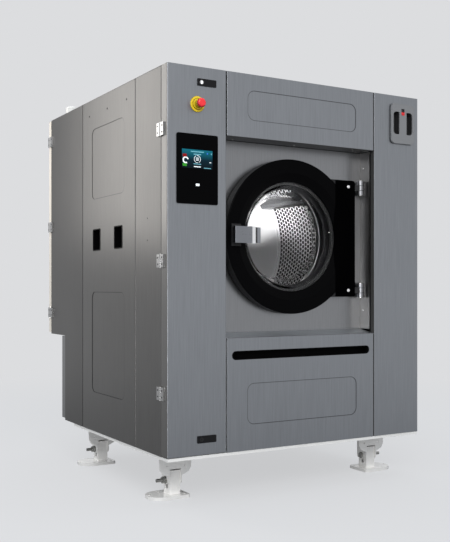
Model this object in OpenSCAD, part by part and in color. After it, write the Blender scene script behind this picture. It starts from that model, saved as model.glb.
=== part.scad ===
// Washer-extractor: a free-standing front-loading laundry machine with a sprung tub,
// a perforated drum, a round glass door in an alcove, and hinged service doors.
// Millimetres, +Z up. Every sub-part is drawn in the cabinet's own frame, whose zero is the
// front left bottom corner of the cabinet, and cab() puts that frame on the floor centre.

/* [Cabinet] */
// Width of the cabinet
cab_w = 1420; // [1400:1:1500]
// Height of the cabinet above its base line
cab_h = 1690; // [1670:1:1760]
// Depth of the upper part of the cabinet
cab_d = 1492; // [1470:1:1560]
// Depth of the lower part of the cabinet
low_d = 1263; // [1240:1:1300]
// Height of the step at the rear
step_z = 466; // [440:1:500]
// Thickness of the panel sheet
sheet = 2.5; // [2:0.5:3]
// Visible gap between neighbouring panels
seam = 3; // [2:0.5:5]
// Depth of a panel's folded edge
fold = 25; // [20:1:25]
// Outer radius of a panel's bends
bend_r = 4; // [3.5:0.5:6]
// Depth of the front corner pieces round the side
wrap = 57; // [50:1:62]
// Depth of a pressed field in a panel
emboss = 1.5; // [1:0.25:2]

/* [Front panels] */
// Width of the left column, which is the control door
left_w = 292; // [286:1:296]
// Width of the right column
right_w = 288; // [280:1:296]
// Height of the lower front panel
lower_h = 507; // [490:1:520]
// Height of the upper front panel
upper_h = 287; // [275:1:295]
// Depth of the alcove behind the front plane
alcove_d = 100; // [96:1:106]
// Rise of the sloped sill over the alcove's depth
sill_rise = 20; // [10:1:30]
// Height of the slot's centre in the lower panel
slot_z = 428; // [415:1:435]
// Length of the slot
slot_w = 783; // [700:1:800]
// Height of the slot
slot_h = 40; // [30:1:46]
// Depth of the slot's trough
slot_d = 34; // [20:1:50]
// First seam on the sides, behind the front side panel
side_seam_a = 327; // [310:1:350]
// Second seam on the sides, behind the centre side panel
side_seam_b = 995; // [960:1:1030]
// Width of a recessed side grip
grip_w = 100; // [90:1:120]
// Height of a recessed side grip
grip_h = 111; // [90:1:130]
// Depth of a recessed side grip
grip_d = 32; // [24:1:38]
// Height of the side grips' centre
grip_z = 972; // [940:1:1000]

/* [Legs and frame] */
// Height of the cabinet above the floor
leg_h = 220; // [210:1:240]
// Distance of a leg's centre from the cabinet side
leg_x = 140; // [136:1:150]
// Distance of the front legs' centre from the front
leg_y = 233; // [225:1:245]
// Distance of the rear legs' centre from the front
rear_leg_y = 1092; // [1070:1:1110]
// Width of a leg post, across the cabinet
post_w = 54; // [48:1:56]
// Depth of a leg post, along the cabinet
post_d = 60; // [54:1:62]
// Wall of a leg post
post_wall = 5; // [4:0.5:7]
// Thickness of a foot plate
plate_t = 15; // [12:1:20]
// Width of a foot plate
plate_w = 140; // [130:1:150]
// Length of a foot plate
plate_l = 188; // [184:1:196]
// Spacing of the floor holes across the cabinet
hole_dx = 93; // [84:1:96]
// Spacing of the floor holes along the cabinet
hole_dy = 100; // [90:1:108]
// Radius of a floor hole
hole_r = 7; // [5:0.5:8]
// Radius of a leg's clamp bolt
clamp_r = 8; // [6:0.5:9]
// Thickness of the frame's bars
bar_t = 4; // [3:0.5:5]
// Width of the base channels
base_w = 80; // [76:1:84]
// Height of the base channels above the base line
base_h = 60; // [50:1:70]
// How far the base frame shows below the panels
base_lip = 14; // [10:1:18]
// Width of the upper frame's angles
angle_w = 50; // [40:1:52]

/* [Drum door] */
// Centre of the drum and its door, from the cabinet's left side
axis_x = 680; // [672:1:690]
// Centre of the drum and its door, above the base line
axis_z = 970; // [960:1:980]
// Outer radius of the door's ring
door_r = 363; // [350:1:366]
// Radius of the visible glass
glass_r = 257; // [250:1:262]
// Plane of the door's front face
door_y = 45; // [42:1:48]
// Thickness of the door's ring
door_t = 48; // [44:1:50]
// Thickness of the ring's skin
skin = 5; // [4:0.5:6]
// How far the glass edge lies behind the door's front face
glass_drop = 21; // [16:1:24]
// Thickness of the glass
glass_t = 8; // [6:0.5:10]
// How far the glass bowl reaches into the drum
bowl_d = 86; // [60:1:96]
// Half the height of the hinge wing
wing_h = 284; // [276:1:290]
// Right edge of the hinge wing, from the door's centre
wing_x = 371; // [366:1:374]
// Distance of the hinge axis from the door's centre
hinge_x = 418; // [414:1:420]
// Plane of the door's hinge axis
hinge_y = 62; // [60:1:64]
// Height of the two hinges above and below the door's centre
hinge_dz = 253; // [240:1:256]
// Radius of the door hinge's barrel
barrel_r = 17; // [15:0.5:18]
// Radius of the door hinge's pin
door_pin_r = 6; // [4:0.5:7]

/* [Drum and tub] */
// Inner radius of the drum
drum_r = 480; // [470:1:486]
// Wall of the drum
drum_t = 3; // [2:0.5:4]
// Length of the drum
drum_l = 685; // [660:1:690]
// Radius of the drum's mouth
mouth_r = 266; // [262:1:272]
// Gap between the drum and the tub round it
tub_gap = 41; // [36:1:48]
// Wall of the tub
tub_t = 4; // [3:0.5:5]
// Plane of the tub's front wall
tub_y = 190; // [186:1:200]
// Length of the tub
tub_l = 750; // [745:1:765]
// Number of lifters in the drum
lifters = 3; // [2:1:4]
// Height of a lifter
lifter_h = 54; // [40:1:80]
// Radius of the drum's shaft
shaft_r = 35; // [30:1:40]
// Radius of the drum's pulley
pulley_r = 290; // [260:1:300]
// Radius of the motor's pulley
small_r = 58; // [50:1:66]
// Height of the motor's axis above the base line
motor_z = 230; // [215:1:240]
// Radius of the motor's housing
motor_r = 96; // [90:1:100]
// Running clearance of every shaft and pin
run = 0.05; // [0.02:0.01:0.08]
// Travel of the tub on its springs, up and down
tub_travel = 10; // [6:1:12]
// Distance of the air springs from the drum's axis
spring_x = 430; // [420:1:440]
// Distance of the dampers from the drum's axis
damper_x = 322; // [316:1:328]
// Radius of an air spring
spring_r = 74; // [60:1:78]
// Height of the tub's spring seats above the base line
seat_z = 300; // [285:1:315]

/* [Controls and locks] */
// Width of the touch screen's plate
screen_w = 203; // [190:1:215]
// Height of the touch screen's plate
screen_h = 304; // [290:1:320]
// Height of the touch screen's centre
screen_z = 1244; // [1220:1:1260]
// Centre of the controls, from the cabinet's left side
controls_x = 145; // [142:1:150]
// Height of the stop button
stop_z = 1526; // [1500:1:1540]
// How far the stop button stands out
stop_h = 48; // [44:1:56]
// Radius of the stop button's head
stop_r = 20; // [17:0.5:24]
// Radius of the stop button's collar
collar_r = 35; // [30:1:38]
// Travel of the stop button
stop_travel = 5; // [3:0.5:6]
// Width of a lock plate
lock_w = 94; // [88:1:100]
// Height of a lock plate
lock_h = 32; // [28:1:36]
// Radius of a lock's barrel
lock_r = 9; // [7:0.5:11]
// Height of the upper lock
lock_hi_z = 1623; // [1610:1:1635]
// Height of the lower lock
lock_lo_z = 70; // [60:1:80]

/* [Service hinges] */
// Height of a service hinge
leaf_h = 57; // [50:1:64]
// Width of each leaf of a service hinge
leaf_w = 25; // [20:1:30]
// Radius of a service hinge's barrel
knuckle_r = 5; // [4.5:0.25:6]
// Radius of a service hinge's pin
pin_r = 2.5; // [2:0.25:3]
// Thickness of the rear door
rear_t = 41; // [34:1:46]
// Width of the fixed service panel beside the rear door
service_w = 294; // [286:1:340]

/* [Detergent drawer] */
// Width of the drawer's front
drawer_w = 153; // [146:1:160]
// Height of the drawer's front
drawer_h = 200; // [190:1:210]
// Centre of the drawer, from the cabinet's right side
drawer_in = 107.5; // [104:0.5:112]
// Height of the drawer's centre
drawer_z = 1550; // [1540:1:1560]
// How far the drawer's front stands out
drawer_out = 11; // [8:0.5:14]
// Length of the drawer's tray
tray_l = 215; // [180:1:240]
// Depth of the finger pockets
pocket_d = 26; // [18:1:28]

/* [Rear connections] */
// Radius of a water inlet
inlet_r = 13.2; // [10:0.2:16]
// How far a water inlet stands out
inlet_l = 34; // [24:1:35]
// Outer radius of the drain outlet
drain_r = 38; // [34:1:40]
// How far the drain outlet stands out
drain_l = 60; // [50:1:80]
// Roof vent, from the cabinet's left side
vent_x = 80; // [70:1:110]
// Roof vent, from the cabinet's rear edge
vent_in = 107; // [90:1:140]
// Radius of the roof vent
vent_r = 30; // [24:1:36]
// Height of the roof vent
vent_h = 70; // [56:1:80]

/* [Hidden] */

steel = [0.50, 0.51, 0.53];
bright = [0.80, 0.80, 0.81];
dark = [0.10, 0.10, 0.11];
eps = 0.01;
seat_gap = 0.3;
grip_rim = 1.2;
hinge_out = 2 * knuckle_r;
main_fn = 96;
small_fn = 36;

// Where the panels stand
right_x = cab_w - right_w;
alcove_x0 = left_w + seam / 2;
alcove_x1 = right_x - seam / 2;
alcove_z1 = cab_h - upper_h;
roof_t = sheet;
side_top = cab_h - roof_t - 0.5;
rear_y = cab_d + rear_t;
rear_w = cab_w - service_w;

// The door's hinge axis and opening
door_hinge = [axis_x + hinge_x, hinge_y];
port_r = glass_r + 30;
rim_r = glass_r + 6;
collar_y = 160;

// The service hinges' axes
front_hinge_y = wrap;
rear_hinge_y = cab_d + seam / 2;
front_hinge_z = [274, 846, 1413];
rear_hinge_z = [587, 1077, 1566];
door_hinge_z = [axis_z - hinge_dz, axis_z + hinge_dz];

// The drum's stack along its axis
drum_y = tub_y + tub_t + 11;
drum_end = drum_y + drum_l;
tub_r = drum_r + drum_t + tub_gap;
tub_end = tub_y + tub_l;
pulley_y = tub_end + 145;
pulley_w = 50;
housing_l = 130;
motor_x = axis_x;

// The lines on which the springs and dampers stand
mount_ys = [leg_y, 830];
drain_x = axis_x - 200;
drain_y = 560;
drain_z = 285;

module cab() {
  translate([-(cab_w + grip_rim - hinge_out) / 2, -(rear_y - stop_h) / 2, leg_h]) children();
}

// A point list along an arc
function arc(cx, cy, r, a0, a1, n = 5) =
  [for (i = [0:n]) let (a = a0 + (a1 - a0) * i / n) [cx + r * cos(a), cy + r * sin(a)]];

// A rectangle with round corners, about its centre
function round_rect(w, h, r, n = 5) = concat(
  arc(w / 2 - r, h / 2 - r, r, 0, 90, n),
  arc(r - w / 2, h / 2 - r, r, 90, 180, n),
  arc(r - w / 2, r - h / 2, r, 180, 270, n),
  arc(w / 2 - r, r - h / 2, r, 270, 360, n));

// A folded sheet seen from above: a face along X with a leg at each end
function channel(w, left, right) = concat(
  [[0, left]], arc(bend_r, bend_r, bend_r, 180, 270),
  arc(w - bend_r, bend_r, bend_r, 270, 360), [[w, right], [w - sheet, right]],
  arc(w - bend_r, bend_r, bend_r - sheet, 360, 270),
  arc(bend_r, bend_r, bend_r - sheet, 270, 180), [[sheet, left]]);

// A sheet tray whose face lies in the plane y = 0 and whose edges fold towards +Y
module tray(w, h, left = fold, right = fold, top = fold, bottom = fold) {
  linear_extrude(h) polygon(channel(w, left, right));
  for (end = [[0, bottom], [h - sheet, top]])
    translate([sheet / 2, sheet / 2, end[0]]) cube([w - sheet, end[1] - sheet / 2, sheet]);
}

// A pressed field in a face at y = 0, about its centre
module field_cut(w, h, r = 35) {
  translate([0, emboss, 0]) rotate([90, 0, 0]) linear_extrude(emboss + 1)
    polygon(round_rect(w, h, r));
}
module field_back(w, h, r = 35) {
  translate([0, sheet + emboss, 0]) rotate([90, 0, 0]) linear_extrude(emboss + eps)
    polygon(round_rect(w + 2 * sheet, h + 2 * sheet, r + sheet));
}

// A rounded window through a face at y = 0
module window(w, h, r, deep = 20) {
  translate([0, deep / 2, 0]) rotate([90, 0, 0]) linear_extrude(deep)
    polygon(round_rect(w, h, r));
}

// A round bar or bore along Y, from y0 to y1
module along_y(r, y0, y1, fn = main_fn) {
  translate([0, y0, 0]) rotate([-90, 0, 0]) cylinder(r = r, h = y1 - y0, $fn = fn);
}

// A revolved shape about Y, from a profile of [radius, y] points
module about_y(points, fn = main_fn) {
  rotate([-90, 0, 0]) rotate_extrude($fn = fn) polygon([for (p = points) [p[0], p[1]]]);
}

// The cabinet's sides: children are drawn with x along the side and y into the cabinet
module left_side() {
  mirror([1, -1, 0]) children();
}
module right_side() {
  translate([cab_w, 0, 0]) rotate([0, 0, 90]) children();
}

module both_sides() {
  left_side() children();
  right_side() children();
}

// The legs: children are drawn about a left leg's centre, at its front or rear place
module at_legs() {
  for (y = [leg_y, rear_leg_y]) {
    translate([leg_x, y, 0]) children();
    translate([cab_w - leg_x, y, 0]) mirror([1, 0, 0]) children();
  }
}

// The cabinet's fixed frame

// A base channel along X: a lip under the panels, and behind it a web and a top flange
rail_end = 3;
rail_in = 28;
module base_rail(length) {
  floor_z = bar_t - base_lip;
  translate([rail_end, 0, 0]) rotate([90, 0, 90]) {
    linear_extrude(length) polygon([[rail_end, -base_lip], [base_w, -base_lip],
      [base_w, floor_z], [rail_end + bar_t, floor_z], [rail_end + bar_t, -0.5],
      [rail_end, -0.5]]);
    translate([0, 0, rail_in - rail_end]) linear_extrude(length + 2 * rail_end - 2 * rail_in)
      polygon([[rail_in, floor_z - eps], [rail_in + bar_t, floor_z - eps],
        [rail_in + bar_t, base_h - bar_t], [base_w, base_h - bar_t], [base_w, base_h],
        [rail_in, base_h]]);
  }
}

frame_end = rear_leg_y + base_w / 2;

// A cross channel, open below, between the side rails
module cross_rail(y) {
  inner = rail_in + bar_t / 2;
  translate([inner, y - base_w / 2, -base_lip]) difference() {
    cube([cab_w - 2 * inner, base_w, base_h + base_lip]);
    translate([-1, bar_t, -1])
      cube([cab_w, base_w - 2 * bar_t, base_h + base_lip - bar_t + 1]);
  }
}

// A leg's bracket: a top plate, two cheeks with the clamp bolt's hole, a back, a short
// front, and a gusset beside each cheek
cheek_t = 6;
gusset_w = 50;
gusset_t = 5;
apron_z = -91;
post_gap = 0.5;
cheek_x = post_w / 2 + post_gap;
clamp_z = -143;
module leg_bracket() {
  cheek_low = clamp_z - 17;
  half_d = post_d / 2 + post_gap + cheek_t;
  reach = cheek_x + cheek_t + gusset_w;
  top_z = -base_lip - cheek_t;
  translate([-reach, -base_w / 2, top_z]) cube([2 * reach, base_w, cheek_t + eps]);
  for (side = [0, 1]) mirror([side, 0, 0]) translate([0, gusset_t - half_d, 0])
    rotate([90, 0, 0]) linear_extrude(gusset_t) difference() {
      polygon([[reach - gusset_w - 1, top_z + 1], [reach, top_z + 1], [reach - 4, apron_z + 6],
        [reach - 16, apron_z - 16], [reach - gusset_w - 1, apron_z - 31]]);
      translate([reach - gusset_w + 12, apron_z + 16]) circle(r = 3.5, $fn = small_fn);
    }
  translate([-cheek_x - 1, -half_d, apron_z])
    cube([2 * cheek_x + 2, gusset_t, top_z - apron_z + 1]);
  for (x = [-cheek_x - cheek_t, cheek_x])
    translate([x, 0, 0]) difference() {
      rotate([90, 0, 90]) linear_extrude(cheek_t) polygon(concat(
        [[half_d, -base_lip - 1], [-half_d, -base_lip - 1]],
        arc(14 - half_d, cheek_low + 14, 14, 180, 270),
        arc(half_d - 14, cheek_low + 14, 14, 270, 360)));
      translate([-1, 0, clamp_z]) rotate([0, 90, 0])
        cylinder(r = clamp_r + 0.5, h = cheek_t + 2, $fn = small_fn);
    }
  translate([-cheek_x - 1, half_d - cheek_t, -118])
    cube([2 * cheek_x + 2, cheek_t, 118 - base_lip]);
}

module base_frame() color(bright) cab() {
  base_rail(cab_w - 2 * rail_end);
  translate([0, frame_end, 0]) mirror([0, 1, 0]) translate([0, -rail_end, 0])
    base_rail(cab_w - 2 * rail_end);
  both_sides() base_rail(frame_end - 2 * rail_end);
  for (y = [leg_y, mount_ys[1]]) cross_rail(y);
  at_legs() leg_bracket();
}

// Angle bars of the upper frame
module angle_z(x, y, z0, z1, sx, sy) {
  translate([x, y, z0]) mirror([sx < 0 ? 1 : 0, 0, 0]) mirror([0, sy < 0 ? 1 : 0, 0])
    difference() {
      cube([angle_w, angle_w, z1 - z0]);
      translate([bar_t, bar_t, -1]) cube([angle_w, angle_w, z1 - z0 + 2]);
    }
}
module angle_y(y0, y1, z, up) {
  translate([frame_x, y0, z]) difference() {
    cube([angle_w, y1 - y0, angle_w]);
    translate([bar_t, -1, up ? -bar_t : bar_t]) cube([angle_w, y1 - y0 + 2, angle_w]);
  }
}
frame_x = fold + 4;
post_y0 = wrap + 8;
post_y1 = frame_end - 4;
post_y2 = cab_d - 10;
top_z = side_top - 8;
front_bar_h = 30;
shelf_z = step_z + sheet + 6;
module frame_half() {
  angle_z(frame_x, post_y0, base_h, top_z, 1, 1);
  angle_z(frame_x, post_y1, base_h, top_z, 1, -1);
  angle_z(frame_x, post_y2, shelf_z, top_z, 1, -1);
  angle_y(post_y0, post_y2, top_z - angle_w, true);
  angle_y(post_y1 - angle_w, post_y2, shelf_z, false);
}
module upper_frame() color(bright) cab() {
  frame_half();
  difference() {
    translate([cab_w, 0, 0]) mirror([1, 0, 0]) frame_half();
    // Room for the detergent dispenser
    translate([drawer_x - dispenser_w / 2 - 3, 0, drawer_z - dispenser_h / 2 - 3])
      cube([dispenser_w + 6, 200, dispenser_h + 6]);
  }
  for (bar = [[post_y1, top_z - angle_w], [post_y2, top_z - angle_w], [post_y2, shelf_z]])
    translate([frame_x, bar[0] - bar_t, bar[1]]) cube([cab_w - 2 * frame_x, bar_t, angle_w]);
  translate([frame_x, post_y0, top_z - front_bar_h])
    cube([cab_w - 2 * frame_x, bar_t, front_bar_h]);
}

// Legs

post_top = -98;
slot_hi = clamp_z + clamp_r + 14;
slot_lo = clamp_z - clamp_r - 32;
module leg_posts() color(bright) cab() at_legs() {
  bottom = plate_t - leg_h;
  difference() {
    translate([-post_w / 2, -post_d / 2, bottom]) cube([post_w, post_d, post_top - bottom]);
    translate([post_wall - post_w / 2, post_wall - post_d / 2, bottom - 1])
      cube([post_w - 2 * post_wall, post_d - 2 * post_wall, post_top - bottom + 2]);
    translate([-post_w, -clamp_r - 1, slot_lo])
      cube([2 * post_w, 2 * clamp_r + 2, slot_hi - slot_lo]);
  }
}

module foot_plates() color(bright) cab() at_legs() {
  tip = plate_w / 2;
  outer = leg_x - 12;
  far = plate_l - outer;
  hole_x = far - 20;
  difference() {
    translate([0, 0, -leg_h]) linear_extrude(plate_t) polygon(concat(
      [[far, tip - 12]], arc(far - 12, tip - 12, 12, 0, 90, 3),
      arc(tip - outer, 0, tip, 90, 270, 16), arc(far - 12, 12 - tip, 12, 270, 360, 3)));
    for (x = [hole_x, hole_x - hole_dx], y = [-hole_dy / 2, hole_dy / 2])
      translate([x, y, -leg_h - 1]) cylinder(r = hole_r, h = plate_t + 2, $fn = small_fn);
    translate([15 - outer, 0, -leg_h - 1])
      cylinder(r = hole_r, h = plate_t + 2, $fn = small_fn);
  }
}

module leg_clamp_bolts() color(bright) cab() at_legs() translate([0, 0, clamp_z])
  rotate([0, 90, 0]) {
    face = cheek_x + cheek_t;
    translate([0, 0, -face - 46])
      cylinder(r = clamp_r, h = 2 * face + 50, $fn = small_fn);
    translate([0, 0, -face - 18]) cylinder(r = 2 * clamp_r, h = 15, $fn = 6);
    translate([0, 0, -face - 3]) cylinder(r = 2.2 * clamp_r, h = 3, $fn = small_fn);
    translate([0, 0, face]) cylinder(r = 1.9 * clamp_r, h = 10, $fn = 6);
  }

// Roof

module roof_panel() color(steel) cab() difference() {
  depth = cab_d - wrap - seam;
  translate([0, wrap + seam, cab_h - roof_t]) {
    cube([cab_w, depth, roof_t]);
    for (y = [0, depth - sheet]) translate([fold + 1, y, -3])
      cube([cab_w - 2 * fold - 2, sheet, 3 + eps]);
  }
  translate([vent_x, cab_d - vent_in, cab_h - 30]) cylinder(r = vent_r - 6, h = 40, $fn = small_fn);
}

module roof_vent() color("white") cab() translate([vent_x, cab_d - vent_in, cab_h]) {
  dome = vent_r * 0.5;
  rotate_extrude($fn = main_fn) polygon(concat(
    [[0, vent_h - 4], [0, vent_h]], arc(vent_r - dome, vent_h - dome, dome, 90, 0),
    [[vent_r, 6], [vent_r + 8, 6], [vent_r + 8, 0], [vent_r - 7, 0],
      [vent_r - 7, -8], [vent_r - 10, -8], [vent_r - 10, 6], [vent_r - 4, 12],
      [vent_r - 4, vent_h - dome], [vent_r - dome, vent_h - 4]]));
}

// Sides

grip_ys = [525, 799];
// The pressed fields of the centre panels: height of the centre, and height
side_fields = [[1358, 356], [454, 508]];
field_w = 406;
module side_front_panels() color(steel) cab() both_sides()
  translate([wrap + seam / 2, 0, 0])
    tray(side_seam_a - wrap - seam, side_top);

module side_centre_panels() color(steel) cab() both_sides() {
  y0 = side_seam_a + seam / 2;
  mid = (side_seam_a + side_seam_b) / 2 - 3;
  difference() {
    union() {
      translate([y0, 0, 0]) tray(side_seam_b - side_seam_a - seam, side_top);
      for (f = side_fields) translate([mid, 0, f[0]]) field_back(field_w, f[1]);
    }
    for (f = side_fields) translate([mid, 0, f[0]]) field_cut(field_w, f[1]);
    for (y = grip_ys) translate([y, 0, grip_z]) window(grip_w - 4, grip_h - 4, 6);
  }
}

rear_y0 = side_seam_b + seam / 2;
function stepped(d) = [[rear_y0 + d, d], [low_d - d, d], [low_d - d, step_z + d],
  [cab_d - d, step_z + d], [cab_d - d, side_top - d], [rear_y0 + d, side_top - d]];
module side_rear_panels() color(steel) cab() both_sides()
  rotate([90, 0, 0]) mirror([0, 0, 1]) difference() {
    linear_extrude(fold) polygon(stepped(0));
    translate([0, 0, sheet]) linear_extrude(fold) polygon(stepped(sheet));
  }

module side_grips() color(dark) cab() both_sides() for (y = grip_ys)
  translate([y, 0, grip_z]) difference() {
    union() {
      rotate([90, 0, 0]) linear_extrude(grip_rim)
        polygon(round_rect(grip_w, grip_h, 8));
      translate([0, grip_d, 0]) rotate([90, 0, 0]) linear_extrude(grip_d + 0.5)
        polygon(round_rect(grip_w - 5, grip_h - 5, 6));
    }
    translate([0, grip_d - 2.5, 0]) rotate([90, 0, 0]) linear_extrude(grip_d)
      polygon(round_rect(grip_w - 10, grip_h - 10, 4));
  }

// Front panels

module front_top_panel() color(steel) cab() {
  w = right_x - left_w - seam;
  field_z = upper_h / 2 + 4;
  translate([alcove_x0, 0, alcove_z1]) difference() {
    union() {
      tray(w, upper_h, fold, fold, wrap, alcove_d - seat_gap);
      translate([w / 2, 0, field_z]) field_back(615, 133);
    }
    translate([w / 2, 0, field_z]) field_cut(615, 133);
  }
}

module front_lower_panel() color(steel) cab() translate([alcove_x0, 0, 0]) {
  w = right_x - left_w - seam;
  h = lower_h - 1;
  back = alcove_d - seat_gap;
  difference() {
    union() {
      linear_extrude(h) polygon(channel(w, fold, fold));
      translate([sheet / 2, sheet / 2, 0]) cube([w - sheet, fold - sheet, sheet]);
      rotate([90, 0, 90]) linear_extrude(w) polygon([[0, h - sheet],
        [0, h], [back, h + sill_rise], [back, h + sill_rise - sheet - 18],
        [back - sheet, h + sill_rise - sheet - 18], [back - sheet, h + sill_rise - sheet],
        [sheet, h - sheet]]);
      translate([w / 2, 0, 208]) field_back(621, 183);
    }
    translate([w / 2, 0, 208]) field_cut(621, 183);
    translate([w / 2, 0, slot_z]) window(slot_w, slot_h, slot_h / 2 - 0.5);
  }
}

module lower_slot_insert() color(dark) cab()
  translate([(left_w + right_x) / 2, 0, slot_z]) difference() {
    union() {
      translate([0, sheet + slot_d, 0]) rotate([90, 0, 0]) linear_extrude(slot_d)
        polygon(round_rect(slot_w - 14, slot_h - 2, slot_h / 2 - 2));
      translate([0, sheet + 3, 0]) rotate([90, 0, 0]) linear_extrude(3)
        polygon(round_rect(slot_w + 20, slot_h + 20, slot_h / 2 + 8));
    }
    translate([0, sheet + slot_d - 2.5, 0]) rotate([90, 0, 0]) linear_extrude(slot_d)
      polygon(round_rect(slot_w - 20, slot_h - 8, slot_h / 2 - 5));
  }

drawer_x = cab_w - drawer_in;
module front_right_column() color(steel) cab() difference() {
  translate([right_x + seam / 2, 0, 0])
    tray(right_w - seam / 2, cab_h, fold, wrap - seam / 2, wrap, fold);
  translate([drawer_x, 0, drawer_z]) window(drawer_w - 14, drawer_h - 14, 12);
}

// The alcove: a back sheet with the round port, two side walls, and the wings of the
// back sheet that reach the frame's front posts
module alcove_liner() color(steel) cab() {
  z0 = lower_h - 1 + sill_rise + seat_gap;
  z1 = alcove_z1 - seat_gap;
  in = 1;
  post_x = frame_x + bar_t + seat_gap;
  difference() {
    union() {
      translate([alcove_x0 + in, alcove_d, z0])
        cube([alcove_x1 - alcove_x0 - 2 * in, sheet, z1 - z0]);
      translate([post_x, alcove_d, z0]) cube([alcove_x0 + 2 - post_x, sheet, wing_z - z0]);
      translate([alcove_x1 - 2, alcove_d, z0])
        cube([cab_w - post_x - alcove_x1 + 2, sheet, z1 - z0]);
    }
    translate([axis_x, 0, axis_z]) along_y(port_r, alcove_d - 1, alcove_d + sheet + 1);
  }
  for (x = [alcove_x0 + in, alcove_x1 - in - sheet])
    translate([x, fold + 2, z0]) cube([sheet, alcove_d + sheet - fold - 2, z1 - z0]);
}

// Hinges

// One leaf of a service hinge about its axis, with its plate on the side of +Y
module leaf(own) {
  plate_y = knuckle_r + 0.8;
  third = leaf_h / 3;
  difference() {
    union() {
      translate([-3, plate_y, 0]) cube([3 + knuckle_r, leaf_w, leaf_h]);
      for (i = own) translate([0, 0, i * third + 0.2]) {
        cylinder(r = knuckle_r, h = third - 0.4, $fn = small_fn);
        translate([-2, 0, 0]) cube([4, plate_y + 1, third - 0.4]);
      }
    }
    translate([0, 0, -1]) cylinder(r = pin_r + run, h = leaf_h + 2, $fn = small_fn);
    for (z = [leaf_h * 0.25, leaf_h * 0.75]) translate([-4, plate_y + leaf_w * 0.55, z])
      rotate([0, 90, 0]) cylinder(r1 = 5, r2 = 3, h = 2.5, $fn = small_fn);
  }
}

module at_front_hinges() {
  for (z = front_hinge_z)
    translate([-knuckle_r, front_hinge_y, z - leaf_h / 2]) children();
}
module at_rear_hinges() {
  for (z = rear_hinge_z)
    translate([-knuckle_r, rear_hinge_y, z - leaf_h / 2]) children();
}
module at_door_hinges() {
  for (z = door_hinge_z) translate([door_hinge[0], door_hinge[1], z]) children();
}

// The three knuckle heights of the door hinge, from its centre
outer_k = 21;
inner_k = 27;
door_k = [[-inner_k / 2 - outer_k, outer_k - 0.4], [-inner_k / 2, inner_k - 0.4],
  [inner_k / 2, outer_k]];

leaf_reach = 30;
module fixed_hinge_leaves() color(bright) cab() {
  wall_x = alcove_x1 - 1 - sheet - door_hinge[0];
  at_front_hinges() leaf([0, 2]);
  at_rear_hinges() mirror([0, 1, 0]) leaf([0, 2]);
  at_door_hinges() difference() {
    union() {
      for (k = [door_k[0], door_k[2]]) translate([0, 0, k[0]]) {
        cylinder(r = barrel_r, h = k[1], $fn = main_fn);
        translate([0, 1, 0]) cube([wall_x - 5, 12, k[1]]);
      }
      translate([wall_x - 6, 0, door_k[0][0]])
        cube([6, leaf_reach, inner_k + 2 * outer_k]);
    }
    translate([0, 0, -50]) cylinder(r = door_pin_r + run, h = 100, $fn = main_fn);
  }
}

module small_pin() {
  cylinder(r = pin_r, h = leaf_h, $fn = small_fn);
  for (z = [-2, leaf_h - 0.1]) translate([0, 0, z])
    cylinder(r = knuckle_r - 0.8, h = 2.1, $fn = small_fn);
}
module hinge_pins() color(bright) cab() {
  at_front_hinges() small_pin();
  at_rear_hinges() small_pin();
  at_door_hinges() {
    half = inner_k / 2 + outer_k;
    translate([0, 0, -half]) cylinder(r = door_pin_r, h = 2 * half + 1, $fn = main_fn);
    for (z = [-half - 2.4, half + 0.1]) translate([0, 0, z])
      cylinder(r = barrel_r - 3, h = 2.3, $fn = main_fn);
  }
}

// The door's half of each hinge: a strap inside the wing, a bolt, and a web to the barrel
strap_h = 48;
strap_l = 60;
strap_t = 6;
strap_in = hinge_x - wing_x + skin + 3;
strap_y = door_y + skin + seat_gap;
wing_bolt_x = hinge_x - 90;
wing_bolt_r = 4;
module door_hinge_leaves() color(bright) cab() at_door_hinges() {
  difference() {
    union() {
      translate([0, 0, door_k[1][0]]) cylinder(r = barrel_r, h = door_k[1][1], $fn = main_fn);
      translate([-strap_in - strap_l, strap_y - hinge_y, 0]) {
        translate([0, 0, -strap_h / 2]) cube([strap_l, strap_t, strap_h]);
        translate([strap_l - 1, 0, door_k[1][0]])
          cube([strap_in - 3, strap_t, door_k[1][1]]);
      }
      translate([wing_bolt_x - hinge_x, -hinge_y, 0]) {
        along_y(wing_bolt_r, door_y - 1, strap_y + 1, small_fn);
        about_y(concat([[0, door_y - 6]], arc(5, door_y - 3, 3, -90, 0, 3),
          [[8, door_y - seat_gap], [0, door_y - seat_gap]]), small_fn);
      }
    }
    translate([0, 0, -50]) cylinder(r = door_pin_r + run, h = 100, $fn = main_fn);
  }
}

module control_door_hinge_leaves() color(bright) cab() at_front_hinges()
  mirror([0, 1, 0]) leaf([1]);

module rear_door_hinge_leaves() color(bright) cab() at_rear_hinges() leaf([1]);

// Rear

door_bottom = step_z + 8;
low_t = 55;
module rear_panels() color(steel) cab() {
  // Lower panel, a deep tray with the drain's hole
  difference() {
    translate([cab_w - 2, low_d + low_t, 10]) rotate([0, 0, 180])
      tray(cab_w - 4, step_z - 14, low_t - seat_gap, low_t - seat_gap, 50, 50);
    translate([drain_x, low_d, drain_z]) along_y(drain_r + tub_travel + 6, -10, 80);
  }
  // Floor of the overhang behind the step
  translate([sheet + 1, low_d + 2, step_z + sheet])
    cube([cab_w - 2 * sheet - 2, cab_d - low_d - 5, sheet]);
  // Fixed service panel beside the rear door
  difference() {
    translate([rear_w + seam, cab_d + 0.5, door_bottom])
      cube([cab_w - rear_w - seam - 2, sheet, side_top - door_bottom]);
    for (z = inlet_zs) translate([inlet_x, 0, z])
      along_y(inlet_r + 1, cab_d - 1, cab_d + 10, small_fn);
    translate([inlet_x, 0, gland_z]) along_y(gland_r + 0.5, cab_d - 1, cab_d + 10, small_fn);
  }
}

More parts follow.
